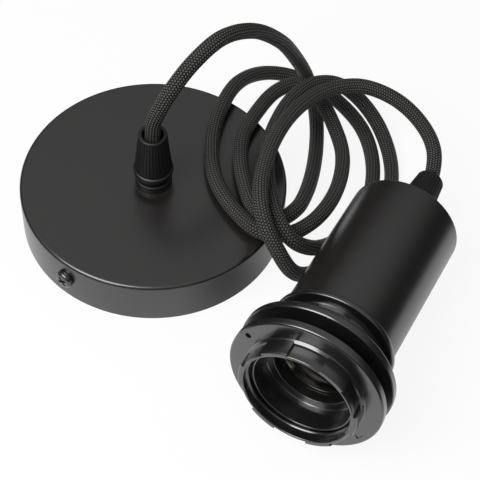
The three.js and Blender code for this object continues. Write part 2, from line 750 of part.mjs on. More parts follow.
holder.add(piece("socket_shell", shellGeometry(), brass()));
holder.add(piece("contact_carrier", carrierGeometry(), whiteCeramic()));
holder.add(piece("centre_contact", contactGeometry(), brass()));

const gripEnd = -cordEndHeight + clearance;
for (const [suffix, side] of [["1", -1], ["2", 1]]) {
  const geometry = panScrew(
    carrierScrewRadius, carrierScrewDepth, carrierScrewHeadRadius, carrierScrewHeadHeight
  );
  const screw = piece(`holder_terminal_screw_${suffix}`, geometry, steel());
  screw.rotation.x = Math.PI;
  screw.position.set(side * carrierScrewSpread, 0, carrierBottom - clearance);
  holder.add(screw);
  const spread = side * coreSpread;
  const wireEnd = carrierBottom - 2 * clearance - carrierScrewHeadHeight - coreRadius;
  const route = [
    [spread, 0, gripEnd],
    [spread, 0, gripStemLength],
    [spread * 2, 0, wireEnd * 0.5],
    [side * carrierScrewSpread, 0, wireEnd * 0.8],
    [side * carrierScrewSpread, 0, wireEnd + coreRadius],
  ];
  holder.add(piece(`holder_core_${suffix}`, tube(route, coreRadius, coreSides, 3), blackPlastic()));
}

const holderGrip = new THREE.Group();
holderGrip.rotation.x = Math.PI;
addGrip(holderGrip, "holder", domeBottom + domeWall);
holder.add(holderGrip);
pendant.add(holder);

export default pendant;
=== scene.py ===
"""Pendant light on a white table: canopy, braided cord and screw lamp holder with two shade rings."""

import json
import math

import bmesh
import bpy
from mathutils import Matrix, Vector


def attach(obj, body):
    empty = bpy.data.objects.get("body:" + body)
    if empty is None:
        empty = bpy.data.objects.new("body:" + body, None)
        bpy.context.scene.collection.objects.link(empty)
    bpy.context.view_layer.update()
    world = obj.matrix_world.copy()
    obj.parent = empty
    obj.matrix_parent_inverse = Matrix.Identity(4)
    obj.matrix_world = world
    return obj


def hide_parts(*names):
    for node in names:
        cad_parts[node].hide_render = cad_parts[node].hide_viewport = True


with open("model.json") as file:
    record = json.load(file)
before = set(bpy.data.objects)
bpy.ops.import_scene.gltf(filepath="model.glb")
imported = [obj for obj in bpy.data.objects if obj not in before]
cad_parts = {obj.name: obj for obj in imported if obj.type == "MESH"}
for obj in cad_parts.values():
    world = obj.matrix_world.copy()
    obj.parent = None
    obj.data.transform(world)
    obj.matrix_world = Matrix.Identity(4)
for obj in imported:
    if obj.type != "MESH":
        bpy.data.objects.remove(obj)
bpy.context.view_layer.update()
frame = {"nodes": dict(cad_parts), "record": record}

# The table, the light and the camera
# The photo is a product shot in a white tent: a white sheet below and soft white light all round.
# The camera sees it all white, and a mirrored ray sees the light and dark that shape a black gloss.

PHOTO_WIDTH = 480
FOCAL_PIXELS = 1400
CAMERA_PLACE = Vector((0.1706, -0.2880, 0.4245))
CAMERA_RIGHT = Vector((0.9072, 0.4207, 0.0))
CAMERA_FORWARD = Vector((-0.2538, 0.5473, -0.7975))
CAMERA_ROLL = math.radians(3.3356)
SENSOR_WIDTH = 36.0
NEAREST = 0.01
FARTHEST = 20.0
SHEET_SIZE = 6.0
SHEET_WHITE = "F4F4F6"
SHEET_GLOW = 0.9
SHEET_MIRROR_GLOW = 0.65
SHEET_BOUNCE = 0.28
# Pool and gap: a painted pool of light and a painted shade in what mirrored rays see of the sheet
POOL_CENTRE = (0.045, -0.005, 0.0)
POOL_RADIUS = 0.125
POOL_EDGE = 0.08
POOL_FAR = 0.06
GAP_CENTRE = (0.056, -0.022, 0.0)
GAP_RADIUS = 0.034
GAP_PAINTED_SHADE = 0.35
TENT_LIGHT = 0.36
TENT_SIDES = 0.05
TENT_ROOF = 0.5
ROOF_START = 0.2
ROOF_END = 0.8
SOFTBOX_SIZE = 0.5
SOFTBOX_PLACE = Vector((-0.16, -0.42, 0.62))
SOFTBOX_AIM = Vector((0.03, 0.0, 0.0))
SOFTBOX_POWER = 5.4


def linear(code):
    """The linear colour of an sRGB hex value."""
    shares = [int(code[at:at + 2], 16) / 255 for at in (0, 2, 4)]
    return [s / 12.92 if s <= 0.04045 else ((s + 0.055) / 1.055) ** 2.4 for s in shares] + [1.0]


def add(tree, kind, sockets=None, **settings):
    """Adds a node. Settings are its properties.

    sockets gives a value or a link to each input, by name or number. A node gives its first output.
    """
    made = tree.nodes.new(kind)
    for name, value in settings.items():
        setattr(made, name, value)
    for name, value in (sockets or {}).items():
        if isinstance(value, bpy.types.Node):
            value = value.outputs[0]
        if isinstance(value, bpy.types.NodeSocket):
            tree.links.new(value, made.inputs[name])
        else:
            made.inputs[name].default_value = value
    return made


def new_material(name):
    """An empty material, and the node tree in it."""
    material = bpy.data.materials.new(name)
    material.use_nodes = True
    material.node_tree.nodes.clear()
    return material, material.node_tree


def ray_kinds(tree):
    """1 for a ray that shows the background to the camera or through glass; and 1 for a mirrored ray."""
    path = add(tree, "ShaderNodeLightPath").outputs
    direct = {0: path["Is Camera Ray"], 1: path["Is Transmission Ray"]}
    return add(tree, "ShaderNodeMath", direct, operation="MAXIMUM"), path["Is Glossy Ray"]


# The sheet carries a painted pool of light: the gloss on the lamp sees it white near the lamp and dim
# further off.
# It throws little light up at the lamp, as in the photo, where the cord's undersides are black,
# and it is grey in the shade between canopy and holder
sheet_paper, tree = new_material("white_paper_sheet")
seen, mirrored = ray_kinds(tree)
spot = add(tree, "ShaderNodeTexCoord").outputs["Object"]
# Painted light: mirrored rays see the sheet bright in a pool round the lamp and dim beyond it
from_pool = add(tree, "ShaderNodeVectorMath", {0: spot, 1: POOL_CENTRE}, operation="DISTANCE")
painted_light_pool = add(
    tree,
    "ShaderNodeMapRange",
    {0: from_pool.outputs["Value"], 1: POOL_RADIUS, 2: POOL_RADIUS + POOL_EDGE, 3: 1.0, 4: POOL_FAR},
    interpolation_type="SMOOTHSTEP",
)
# Painted shade: mirrored rays see the sheet grey between canopy and holder
from_gap = add(tree, "ShaderNodeVectorMath", {0: spot, 1: GAP_CENTRE}, operation="DISTANCE")
painted_gap_shade = add(
    tree,
    "ShaderNodeMapRange",
    {0: from_gap.outputs["Value"], 1: 0.0, 2: GAP_RADIUS, 3: GAP_PAINTED_SHADE, 4: 1.0},
    interpolation_type="SMOOTHSTEP",
)
painted_pool_and_shade = add(tree, "ShaderNodeMath", {0: painted_light_pool, 1: painted_gap_shade}, operation="MULTIPLY")
# Painted shade: diffuse rays see the sheet dim grey, so little light bounces up and the undersides above it
# stay dark
bounce = add(tree, "ShaderNodeMix", {0: seen, 2: SHEET_BOUNCE, 3: 1.0}, data_type="FLOAT")
brightness_with_painted_light = add(tree, "ShaderNodeMix", {0: mirrored, 2: bounce, 3: painted_pool_and_shade}, data_type="FLOAT")
paper_colour_with_painted_light = add(
    tree,
    "ShaderNodeVectorMath",
    {0: linear(SHEET_WHITE)[:3], "Scale": brightness_with_painted_light},
    operation="SCALE",
)
seen_glow = add(tree, "ShaderNodeMath", {0: seen, 1: SHEET_GLOW}, operation="MULTIPLY")
glow_share = add(
    tree,
    "ShaderNodeMath",
    {0: mirrored, 1: SHEET_MIRROR_GLOW, 2: seen_glow},
    operation="MULTIPLY_ADD",
)
paper = add(tree, "ShaderNodeBsdfDiffuse", {"Color": paper_colour_with_painted_light})
glow = add(tree, "ShaderNodeEmission", {"Color": (1, 1, 1, 1), "Strength": brightness_with_painted_light})
lit_paper = add(tree, "ShaderNodeMixShader", {0: glow_share, 1: paper, 2: glow})
add(tree, "ShaderNodeOutputMaterial", {"Surface": lit_paper})

half = SHEET_SIZE / 2
table_corners = [(-half, -half, 0), (half, -half, 0), (half, half, 0), (-half, half, 0)]
table_mesh = bpy.data.meshes.new("table_sheet")
table_mesh.from_pydata(table_corners, [], [(0, 1, 2, 3)])
table_mesh.materials.append(sheet_paper)
table = bpy.data.objects.new("table_sheet", table_mesh)
bpy.context.scene.collection.objects.link(table)

# The tent is white to the camera, even and plain as light, and dark at its sides in a mirrored ray
world = bpy.data.worlds.new("white_tent")
world.use_nodes = True
bpy.context.scene.world = world
tree = world.node_tree
tree.nodes.clear()
seen, mirrored = ray_kinds(tree)
toward = add(tree, "ShaderNodeTexCoord").outputs["Generated"]
height = add(tree, "ShaderNodeSeparateXYZ", {0: toward}).outputs[2]
roof = add(
    tree,
    "ShaderNodeMapRange",
    {0: height, 1: ROOF_START, 2: ROOF_END, 3: TENT_SIDES, 4: TENT_ROOF},
    interpolation_type="SMOOTHSTEP",
)
lit = add(tree, "ShaderNodeMix", {0: mirrored, 2: TENT_LIGHT, 3: roof}, data_type="FLOAT")
strength = add(tree, "ShaderNodeMix", {0: seen, 2: lit, 3: 1.0}, data_type="FLOAT")
tent = add(tree, "ShaderNodeBackground", {"Color": (1, 1, 1, 1), "Strength": strength})
add(tree, "ShaderNodeOutputWorld", {"Surface": tent})

softbox_lamp = bpy.data.lights.new("softbox", "AREA")
softbox_lamp.size = SOFTBOX_SIZE
softbox_lamp.energy = SOFTBOX_POWER
softbox = bpy.data.objects.new("softbox", softbox_lamp)
softbox.location = SOFTBOX_PLACE
softbox.rotation_euler = (SOFTBOX_AIM - SOFTBOX_PLACE).to_track_quat("-Z", "Y").to_euler()
bpy.context.scene.collection.objects.link(softbox)

camera_data = bpy.data.cameras.new("photo_camera")
camera_data.sensor_width = SENSOR_WIDTH
camera_data.lens = camera_data.sensor_width * FOCAL_PIXELS / PHOTO_WIDTH
camera_data.clip_start = NEAREST
camera_data.clip_end = FARTHEST
camera = bpy.data.objects.new("photo_camera", camera_data)
camera_up = CAMERA_RIGHT.cross(CAMERA_FORWARD)
right = CAMERA_RIGHT * math.cos(CAMERA_ROLL) + camera_up * math.sin(CAMERA_ROLL)
up = right.cross(CAMERA_FORWARD)
camera_turn = Matrix((right, up, -CAMERA_FORWARD)).transposed().to_4x4()
camera.matrix_world = Matrix.Translation(CAMERA_PLACE) @ camera_turn
bpy.context.scene.collection.objects.link(camera)
bpy.context.scene.camera = camera
bpy.context.scene.view_settings.view_transform = "Standard"

# The cord
# A round two-core cord in a sleeve braided from glossy black polyester yarn.
# It leaves the canopy's grip upwards, lies in tilted loops and enters the holder's grip.

# From here on sizes are in mm, which MM turns to metres. The cord's exit and route are in metres
MM = 0.001
CORD_DIAMETER = 5.8
CORD_ROW = 1.6
SPLINE_STEPS = 24
BRAID_LANES = 16
COLUMNS_PER_LANE = 4
BRAID_RELIEF = 0.26
BRAID_STITCH = 1.05
BRAID_BUMP = 0.22
STITCH_LEAN = 0.45
STITCH_START = -0.75
STITCH_FULL = 0.45
FILAMENTS = 5.0
FILAMENT_HEIGHT = 0.08
# The crown colour is the yarn's black lifted by a painted glint, and the gap colour is painted shade
YARN_BLACK_AND_GLINT = "666563"
YARN_GAP_PAINTED_SHADE = "020202"

# The route's points, the same as the cord's solid follows
CORD_ROUTE = [
    (0, 0, 0.0255), (0, 0, 0.035), (0, 0, 0.0445), (0.0005, 0.0001, 0.051),
    (0.0021, 0.0018, 0.057), (0.0049, 0.0064, 0.065), (0.0084, 0.0149, 0.072),
    (0.0122, 0.0273, 0.0745), (0.0165, 0.0432, 0.067), (0.0209, 0.0592, 0.0505),
    (0.0235, 0.071, 0.032), (0.0265, 0.0765, 0.0185), (0.031, 0.075, 0.01), (0.037, 0.066, 0.0075),
    (0.0435, 0.052, 0.0095), (0.0495, 0.035, 0.014), (0.053, 0.0205, 0.0185),
    (0.0538, 0.011, 0.0216), (0.051, 0.004, 0.022), (0.0455, 0.0015, 0.0222),
    (0.0395, 0.0042, 0.022), (0.033, 0.011, 0.0218), (0.026, 0.0205, 0.0218),
    (0.0205, 0.033, 0.022), (0.0195, 0.0475, 0.022), (0.021, 0.06, 0.0218),
    (0.0255, 0.067, 0.0218), (0.0315, 0.0688, 0.0217), (0.038, 0.0665, 0.019),
    (0.0455, 0.0615, 0.0155), (0.054, 0.0525, 0.013), (0.06, 0.038, 0.015),
    (0.0625, 0.021, 0.0185), (0.0608, 0.008, 0.0205), (0.056, -0.001, 0.0217),
    (0.0475, -0.0048, 0.022), (0.0355, -0.001, 0.0218), (0.022, 0.0085, 0.0218),
    (0.0125, 0.0225, 0.0218), (0.007, 0.0385, 0.022), (0.0055, 0.0565, 0.0213),
    (0.0095, 0.073, 0.0145), (0.0185, 0.082, 0.009), (0.0305, 0.0845, 0.0055),
    (0.043, 0.0815, 0.0035), (0.055, 0.0735, 0.0032), (0.065, 0.06, 0.0032),
    (0.071, 0.043, 0.0038), (0.0715, 0.025, 0.007), (0.0695, 0.0105, 0.0115), (0.0655, 0, 0.0185),
    (0.0598, -0.005, 0.0255), (0.053, -0.0025, 0.0293), (0.0465, 0.0045, 0.0302),
    (0.039, 0.0155, 0.0298), (0.0335, 0.028, 0.029), (0.031, 0.0405, 0.029),
    (0.031, 0.053, 0.0295), (0.0345, 0.065, 0.0285), (0.041, 0.074, 0.0235),
    (0.049, 0.079, 0.0145), (0.059, 0.077, 0.007), (0.0695, 0.0665, 0.0032),
    (0.0765, 0.051, 0.0032), (0.0776, 0.0355, 0.0032), (0.0744, 0.0215, 0.0032),
    (0.0708, 0.008, 0.0049), (0.0684, -0.005, 0.0105), (0.0642, -0.013, 0.019),
    (0.0575, -0.013, 0.028), (0.05, -0.0085, 0.034), (0.0425, 0.003, 0.036),
    (0.0375, 0.0195, 0.0362), (0.036, 0.0415, 0.0345), (0.0405, 0.0605, 0.0315),
    (0.051, 0.0725, 0.029), (0.065, 0.0755, 0.026), (0.078, 0.0715, 0.023),
    (0.087, 0.0635, 0.0205), (0.0913, 0.051, 0.018), (0.09126, 0.0419, 0.0189),
    (0.09126, 0.0319, 0.0199),
]


def smooth_route(points, step):
    """Points about a step apart on a centripetal spline through the given points, and its length."""
    given = [Vector(point) for point in points]
    given = [2 * given[0] - given[1]] + given + [2 * given[-1] - given[-2]]
    dense = []
    for a, b, c, d in zip(given, given[1:], given[2:], given[3:]):
        t1 = (b - a).length ** 0.5
        t2 = t1 + (c - b).length ** 0.5
        t3 = t2 + (d - c).length ** 0.5
        for part in range(SPLINE_STEPS):
            t = t1 + (t2 - t1) * part / SPLINE_STEPS
            ab = a * ((t1 - t) / t1) + b * (t / t1)
            bc = b * ((t2 - t) / (t2 - t1)) + c * ((t - t1) / (t2 - t1))
            cd = c * ((t3 - t) / (t3 - t2)) + d * ((t - t2) / (t3 - t2))
            abc = ab * ((t2 - t) / t2) + bc * (t / t2)
            bcd = bc * ((t3 - t) / (t3 - t1)) + cd * ((t - t1) / (t3 - t1))
            dense.append(abc * ((t2 - t) / (t2 - t1)) + bcd * ((t - t1) / (t2 - t1)))
    dense.append(given[-2])
    run = [0.0]
    for start, end in zip(dense, dense[1:]):
        run.append(run[-1] + (end - start).length)
    count = round(run[-1] / step)
    even, at = [], 0
    for index in range(count + 1):
        goal = run[-1] * index / count
        while at < len(dense) - 2 and run[at + 1] < goal:
            at += 1
        share_of_span = (goal - run[at]) / (run[at + 1] - run[at])
        even.append(dense[at].lerp(dense[at + 1], share_of_span))
    return even, run[-1]


def add_piece(name, mesh, material, smooth_angle=35):
    """A finished piece at the origin, smooth except across edges that are sharper than the angle."""
    mesh.materials.append(material)
    mesh.shade_smooth()
    mesh.set_sharp_from_angle(angle=math.radians(smooth_angle))
    piece = bpy.data.objects.new(name, mesh)
    bpy.context.scene.collection.objects.link(piece)
    return piece


cord_path, cord_length = smooth_route(CORD_ROUTE, CORD_ROW * MM)
rows = len(cord_path)
columns = BRAID_LANES * COLUMNS_PER_LANE
tangents = [
    (cord_path[min(row + 1, rows - 1)] - cord_path[max(row - 1, 0)]).normalized()
    for row in range(rows)
]
side = tangents[0].orthogonal().normalized()
vertices = []
for centre, tangent in zip(cord_path, tangents):
    side = (side - tangent * side.dot(tangent)).normalized()
    other = tangent.cross(side)
    for column in range(columns):
        angle = 2 * math.pi * column / columns
        lane_share = (column % COLUMNS_PER_LANE) / COLUMNS_PER_LANE
        groove = BRAID_RELIEF * (1 - math.sin(math.pi * lane_share)) * 0.5
        reach = (CORD_DIAMETER / 2 - groove) * MM
        vertices.append(centre + (side * math.cos(angle) + other * math.sin(angle)) * reach)
faces = []
for row in range(rows - 1):
    low, high = row * columns, (row + 1) * columns
    for column in range(columns):
        after = (column + 1) % columns
        faces.append((low + column, low + after, high + after, high + column))
faces.append(tuple(reversed(range(columns))))
faces.append(tuple((rows - 1) * columns + column for column in range(columns)))
cord_mesh = bpy.data.meshes.new("braided_cord")
cord_mesh.from_pydata(vertices, [], faces)

# The braid's map: lanes round the cord in U, and stitches along it in V
stitches = cord_length / (BRAID_STITCH * MM)
braid_map = cord_mesh.uv_layers.new(name="braid_map")
for face in range((rows - 1) * columns):
    row, column = divmod(face, columns)
    for corner, (up_by, round_by) in enumerate(((0, 0), (0, 1), (1, 1), (1, 0))):
        u = (column + round_by) / COLUMNS_PER_LANE
        v = stitches * (row + up_by) / (rows - 1)
        braid_map.data[face * 4 + corner].uv = (u, v)

# Braided polyester: rows of short glossy stitches that step from lane to lane. Their gaps are painted black
# as shade, and their crowns are painted a lighter grey as a glint.
# A real stitch is about 0.45 mm long, too fine to show, so the stitches are drawn 1.05 mm long
braid, tree = new_material("braided_polyester")
uv = add(tree, "ShaderNodeUVMap", uv_map="braid_map")
round_cord, along_cord = add(tree, "ShaderNodeSeparateXYZ", {0: uv}).outputs[:2]
lane = add(tree, "ShaderNodeMath", {0: round_cord}, operation="FLOOR")
lane_at = add(tree, "ShaderNodeMath", {0: round_cord}, operation="FRACT")
parity = add(tree, "ShaderNodeMath", {0: lane, 1: 2.0}, operation="FLOORED_MODULO")
lean = add(tree, "ShaderNodeMapRange", {0: parity, 3: -STITCH_LEAN, 4: STITCH_LEAN})
from_middle = add(tree, "ShaderNodeMath", {0: lane_at, 1: 0.5}, operation="SUBTRACT")
slant = add(tree, "ShaderNodeMath", {0: from_middle, 1: lean}, operation="MULTIPLY")
shift = add(tree, "ShaderNodeMath", {0: parity, 1: 0.5, 2: slant}, operation="MULTIPLY_ADD")
along = add(tree, "ShaderNodeMath", {0: along_cord, 1: shift}, operation="ADD")
turn = add(tree, "ShaderNodeMath", {0: along, 1: 2 * math.pi}, operation="MULTIPLY")
wave = add(tree, "ShaderNodeMath", {0: turn}, operation="COSINE")
stitch = add(
    tree,
    "ShaderNodeMapRange",
    {0: wave, 1: STITCH_START, 2: STITCH_FULL, 3: 0.0, 4: 1.0},
    interpolation_type="SMOOTHSTEP",
)
lane_turn = add(tree, "ShaderNodeMath", {0: lane_at, 1: math.pi}, operation="MULTIPLY")
lane_round = add(tree, "ShaderNodeMath", {0: lane_turn}, operation="SINE")
braid_height = add(tree, "ShaderNodeMath", {0: stitch, 1: lane_round}, operation="MULTIPLY")
filament_turn = add(tree, "ShaderNodeMath", {0: turn, 1: FILAMENTS}, operation="MULTIPLY")
filaments = add(tree, "ShaderNodeMath", {0: filament_turn}, operation="SINE")
yarn_height = add(
    tree,
    "ShaderNodeMath",
    {0: filaments, 1: FILAMENT_HEIGHT, 2: braid_height},
    operation="MULTIPLY_ADD",
)
yarn_bump = add(
    tree, "ShaderNodeBump", {"Strength": 1.0, "Distance": BRAID_BUMP * MM, "Height": yarn_height}
)
# Painted shade and highlight: black in the gaps between stitches, lighter grey on their crowns
yarn_colour_with_painted_light = add(
    tree,
    "ShaderNodeMix",
    {0: braid_height, 6: linear(YARN_GAP_PAINTED_SHADE), 7: linear(YARN_BLACK_AND_GLINT)},
    data_type="RGBA",
)
yarn = add(tree, "ShaderNodeBsdfPrincipled", {
    "Base Color": yarn_colour_with_painted_light.outputs[2],
    "Roughness": 0.42,
    "IOR": 1.3,
    "Normal": yarn_bump,
})
add(tree, "ShaderNodeOutputMaterial", {"Surface": yarn})

cord = add_piece("braided_cord", cord_mesh, braid, smooth_angle=80)
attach(cord, "root")
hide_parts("cord")

# The canopy
# A shallow cup pressed from 1 mm steel sheet and powder-coated black, so its edge is softly rounded
# and the satin coat has a faint orange-peel surface. Two holes in its side take the screws.

CANOPY_RADIUS = 50.0
CANOPY_HEIGHT = 18.5
CANOPY_WALL = 1.0
CANOPY_EDGE = 1.4
CANOPY_STEPS = 256
SCREW_AZIMUTH = math.radians(260.2)
SCREW_HEIGHT = 10.0
SCREW_HOLE = 2.3
STEM_HOLE = 5.3
COAT_BLACK = "1C1A19"
COAT_GRAIN = 0.9
COAT_PEEL = 0.012
COAT_HAZE = 18.0


def arc(centre_radius, centre_height, size, start, end, steps=6):
    """Points of an arc in an outline, from one angle to another in degrees."""
    angles = [math.radians(start + (end - start) * step / steps) for step in range(steps + 1)]
    return [(centre_radius + size * math.cos(a), centre_height + size * math.sin(a)) for a in angles]


def even_turns(count):
    """Angles that share a whole turn evenly."""
    return [2 * math.pi * index / count for index in range(count)]


def turned(name, outline, turns, place=None, reshape=None):
    """A closed outline of (radius, height) in mm turned about Z, put in place and given in metres.

    reshape moves a point, from its radius, its height and the numbers of its turn and point.
    """
    bm = bmesh.new()
    rings = []
    for station, angle in enumerate(turns):
        ring = []
        for point, (r, z) in enumerate(outline):
            if reshape:
                r, z = reshape(r, z, station, point)
            ring.append(bm.verts.new((r * math.cos(angle) * MM, r * math.sin(angle) * MM, z * MM)))
        rings.append(ring)
    for first, second in zip(rings, rings[1:] + rings[:1]):
        for low in range(len(outline)):
            high = (low + 1) % len(outline)
            bm.faces.new((first[low], second[low], second[high], first[high]))
    bmesh.ops.remove_doubles(bm, verts=bm.verts, dist=1e-7)
    bmesh.ops.dissolve_degenerate(bm, dist=1e-8, edges=bm.edges)
    bmesh.ops.recalc_face_normals(bm, faces=bm.faces)
    mesh = bpy.data.meshes.new(name)
    bm.to_mesh(mesh)
    bm.free()
    if place:
        mesh.transform(place)
    return mesh


def bored(mesh, *cutters):
    """The mesh less the cutters' meshes."""
    body = bpy.data.objects.new("blank", mesh)
    bpy.context.scene.collection.objects.link(body)
    tools = []
    for cutter in cutters:
        tool = bpy.data.objects.new("cutter", cutter)
        bpy.context.scene.collection.objects.link(tool)
        bore = body.modifiers.new("bore", "BOOLEAN")
        bore.object = tool
        bore.operation = "DIFFERENCE"
        bore.solver = "EXACT"
        tools.append(tool)
    evaluated = body.evaluated_get(bpy.context.evaluated_depsgraph_get())
    result = bpy.data.meshes.new_from_object(evaluated)
    for helper in [body] + tools:
        bpy.data.objects.remove(helper)
    result.name = mesh.name
    return result


def rod(radius, start, end, place, segments=48):
    """A plain round bar along Z, for cutting."""
    outline = [(0.0, start), (radius, start), (radius, end), (0.0, end)]
    return turned("bar", outline, even_turns(segments), place)


# Powder coat baked on steel: a satin black whose broad highlights are broken by a faint orange peel
powder_coat, tree = new_material("powder_coated_steel")
spot = add(tree, "ShaderNodeTexCoord").outputs["Object"]
peel = add(tree, "ShaderNodeTexNoise", {"Vector": spot, "Scale": 1 / (COAT_GRAIN * MM), "Detail": 3.0})
peel_bump = add(tree, "ShaderNodeBump", {"Strength": 0.35, "Distance": COAT_PEEL * MM, "Height": peel})
haze = add(tree, "ShaderNodeTexNoise", {"Vector": spot, "Scale": 1 / (COAT_HAZE * MM), "Detail": 4.0})
coat = add(tree, "ShaderNodeBsdfPrincipled", {
    "Base Color": linear(COAT_BLACK),
    "Roughness": add(tree, "ShaderNodeMapRange", {0: haze, 3: 0.22, 4: 0.3}),
    "IOR": 1.75,
    "Normal": peel_bump,
})
add(tree, "ShaderNodeOutputMaterial", {"Surface": coat})

inner = CANOPY_RADIUS - CANOPY_WALL
under = CANOPY_HEIGHT - CANOPY_WALL
inner_edge = CANOPY_EDGE - CANOPY_WALL / 2
canopy_outline = (
    [(STEM_HOLE, under)]
    + arc(inner - inner_edge, under - inner_edge, inner_edge, 90, 0)
    + [(inner, 0.0), (CANOPY_RADIUS, 0.0)]
    + arc(CANOPY_RADIUS - CANOPY_EDGE, CANOPY_HEIGHT - CANOPY_EDGE, CANOPY_EDGE, 0, 90, 10)
    + [(STEM_HOLE, CANOPY_HEIGHT)]
)
across = Matrix.Translation((0, 0, SCREW_HEIGHT * MM)) @ Matrix.Rotation(SCREW_AZIMUTH, 4, "Z")
across = across @ Matrix.Rotation(math.pi / 2, 4, "Y")
canopy_blank = turned("canopy_cup", canopy_outline, even_turns(CANOPY_STEPS))
screw_drill = rod(SCREW_HOLE, -1.2 * CANOPY_RADIUS, 1.2 * CANOPY_RADIUS, across)
canopy = add_piece("canopy_cup", bored(canopy_blank, screw_drill), powder_coat)
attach(canopy, "root")
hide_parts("canopy")

# The canopy's side screws
# M4 pan-head screws with a cross recess, blackened, one on each side of the canopy.
# They go through the canopy's wall into the bracket's ears.

SCREW_STEPS = 64
SCREW_RADIUS = 2.0
SCREW_LENGTH = 7.5
SCREW_TIP = 0.4
SCREW_HEAD = 3.5
SCREW_HEAD_HEIGHT = 2.2
SCREW_HEAD_ROUND = 1.2
SCREW_EDGE = 0.1
SCREW_SEAT_GAP = 0.1
RECESS_LENGTH = 4.2
RECESS_WIDTH = 1.0
RECESS_DEPTH = 1.3
RECESS_TURN = math.radians(35)
OXIDE_BLACK = "161616"
OXIDE_WORN = "242424"
OXIDE_GRAIN = 0.8

# Blackened cold-headed steel: a thin oxide that shines on the head's round and is rubbed in places
screw_black, tree = new_material("blackened_cold_headed_steel")
spot = add(tree, "ShaderNodeTexCoord").outputs["Object"]
wear = add(tree, "ShaderNodeTexNoise", {"Vector": spot, "Scale": 1 / (OXIDE_GRAIN * MM), "Detail": 4.0})
oxide_shades = {0: wear, 6: linear(OXIDE_BLACK), 7: linear(OXIDE_WORN)}
oxide = add(tree, "ShaderNodeBsdfPrincipled", {
    "Base Color": add(tree, "ShaderNodeMix", oxide_shades, data_type="RGBA").outputs[2],
    "Roughness": add(tree, "ShaderNodeMapRange", {0: wear, 3: 0.2, 4: 0.3}),
    "IOR": 1.9,
})
add(tree, "ShaderNodeOutputMaterial", {"Surface": oxide})


def bar(length, width, height, middle, place):
    """A plain rectangular bar, for cutting."""
    bm = bmesh.new()
    size = Matrix.Diagonal((length * MM, width * MM, height * MM, 1))
    bmesh.ops.create_cube(bm, size=1.0, matrix=size)
    mesh = bpy.data.meshes.new("bar")
    bm.to_mesh(mesh)
    bm.free()
    mesh.transform(place @ Matrix.Translation(Vector(middle) * MM))
    return mesh


head_middle = (SCREW_HEAD - SCREW_HEAD_ROUND, SCREW_HEAD_HEIGHT - SCREW_HEAD_ROUND)
screw_outline = (
    [(0.0, -SCREW_LENGTH), (SCREW_RADIUS - SCREW_TIP, -SCREW_LENGTH)]
    + [(SCREW_RADIUS, -SCREW_LENGTH + SCREW_TIP), (SCREW_RADIUS, 0.0)]
    + [(SCREW_HEAD - SCREW_EDGE, 0.0), (SCREW_HEAD, SCREW_EDGE)]
    + arc(*head_middle, SCREW_HEAD_ROUND, 0, 78, 8)
    + [(0.0, SCREW_HEAD_HEIGHT)]
)
for name, node, turn_by in (
    ("side_screw_front", "canopy_screw_front", 0.0), ("side_screw_rear", "canopy_screw_rear", math.pi)
):
    seat = Matrix.Translation((0, 0, SCREW_HEIGHT * MM)) @ Matrix.Rotation(SCREW_AZIMUTH + turn_by, 4, "Z")
    seat = seat @ Matrix.Translation(((CANOPY_RADIUS + SCREW_SEAT_GAP) * MM, 0, 0))
    seat = seat @ Matrix.Rotation(math.pi / 2, 4, "Y") @ Matrix.Rotation(RECESS_TURN, 4, "Z")
    recess = [
        bar(length, width, 2 * RECESS_DEPTH, (0, 0, SCREW_HEAD_HEIGHT), seat)
        for length, width in ((RECESS_LENGTH, RECESS_WIDTH), (RECESS_WIDTH, RECESS_LENGTH))
    ]
    screw_mesh = bored(turned(name, screw_outline, even_turns(SCREW_STEPS), seat), *recess)
    screw = add_piece(name, screw_mesh, screw_black)
    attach(screw, "root")
    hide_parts(node)

# The ceiling bracket, the locknuts and the small screws
# Zinc-plated mild steel: the strip is punched and bent, the nuts and screws are cold-formed.
# Their solids have the real shape, so they stay and get the plating's bright, slightly cloudy look.

ZINC = "BFC2C4"
ZINC_PALE = "D8DADB"
ZINC_CLOUD = 2.5

# Zinc plating: a pale bluish metal with soft clouds in its shine
zinc_steel, tree = new_material("zinc_plated_steel")
spot = add(tree, "ShaderNodeTexCoord").outputs["Object"]
cloud = add(tree, "ShaderNodeTexNoise", {"Vector": spot, "Scale": 1 / (ZINC_CLOUD * MM), "Detail": 5.0})
zinc_shades = {0: cloud, 6: linear(ZINC), 7: linear(ZINC_PALE)}
plating = add(tree, "ShaderNodeBsdfPrincipled", {
    "Base Color": add(tree, "ShaderNodeMix", zinc_shades, data_type="RGBA").outputs[2],
    "Metallic": 1.0,
    "Roughness": add(tree, "ShaderNodeMapRange", {0: cloud, 3: 0.24, 4: 0.42}),
})
add(tree, "ShaderNodeOutputMaterial", {"Surface": plating})


def dress(node, material):
    """Gives a kept solid its material."""
    for slot in frame["nodes"][node].material_slots:
        slot.material = material


for node in (
    ["ceiling_bracket", "terminal_block_screw", "canopy_locknut", "holder_locknut"]
    + [f"terminal_screw_{number}" for number in (1, 2, 3, 4)]
    + [f"holder_terminal_screw_{number}" for number in (1, 2)]
):
    dress(node, zinc_steel)

# The terminal block and the cores
# The block is natural polyamide, moulded and slightly translucent. The cores are copper strands
# in smooth vinyl insulation, brown for the live one and blue for the neutral one.

NATURAL_GREY = "DCDDD6"
NATURAL_WHITE = "EDEDE8"
NATURAL_FLOW = 3.0
NATURAL_DEPTH = 2.0
VINYL_BROWN = "4A2A18"
VINYL_BLUE = "1D4F8C"
VINYL_GRAIN = 1.5
VINYL_RIPPLE = 0.02

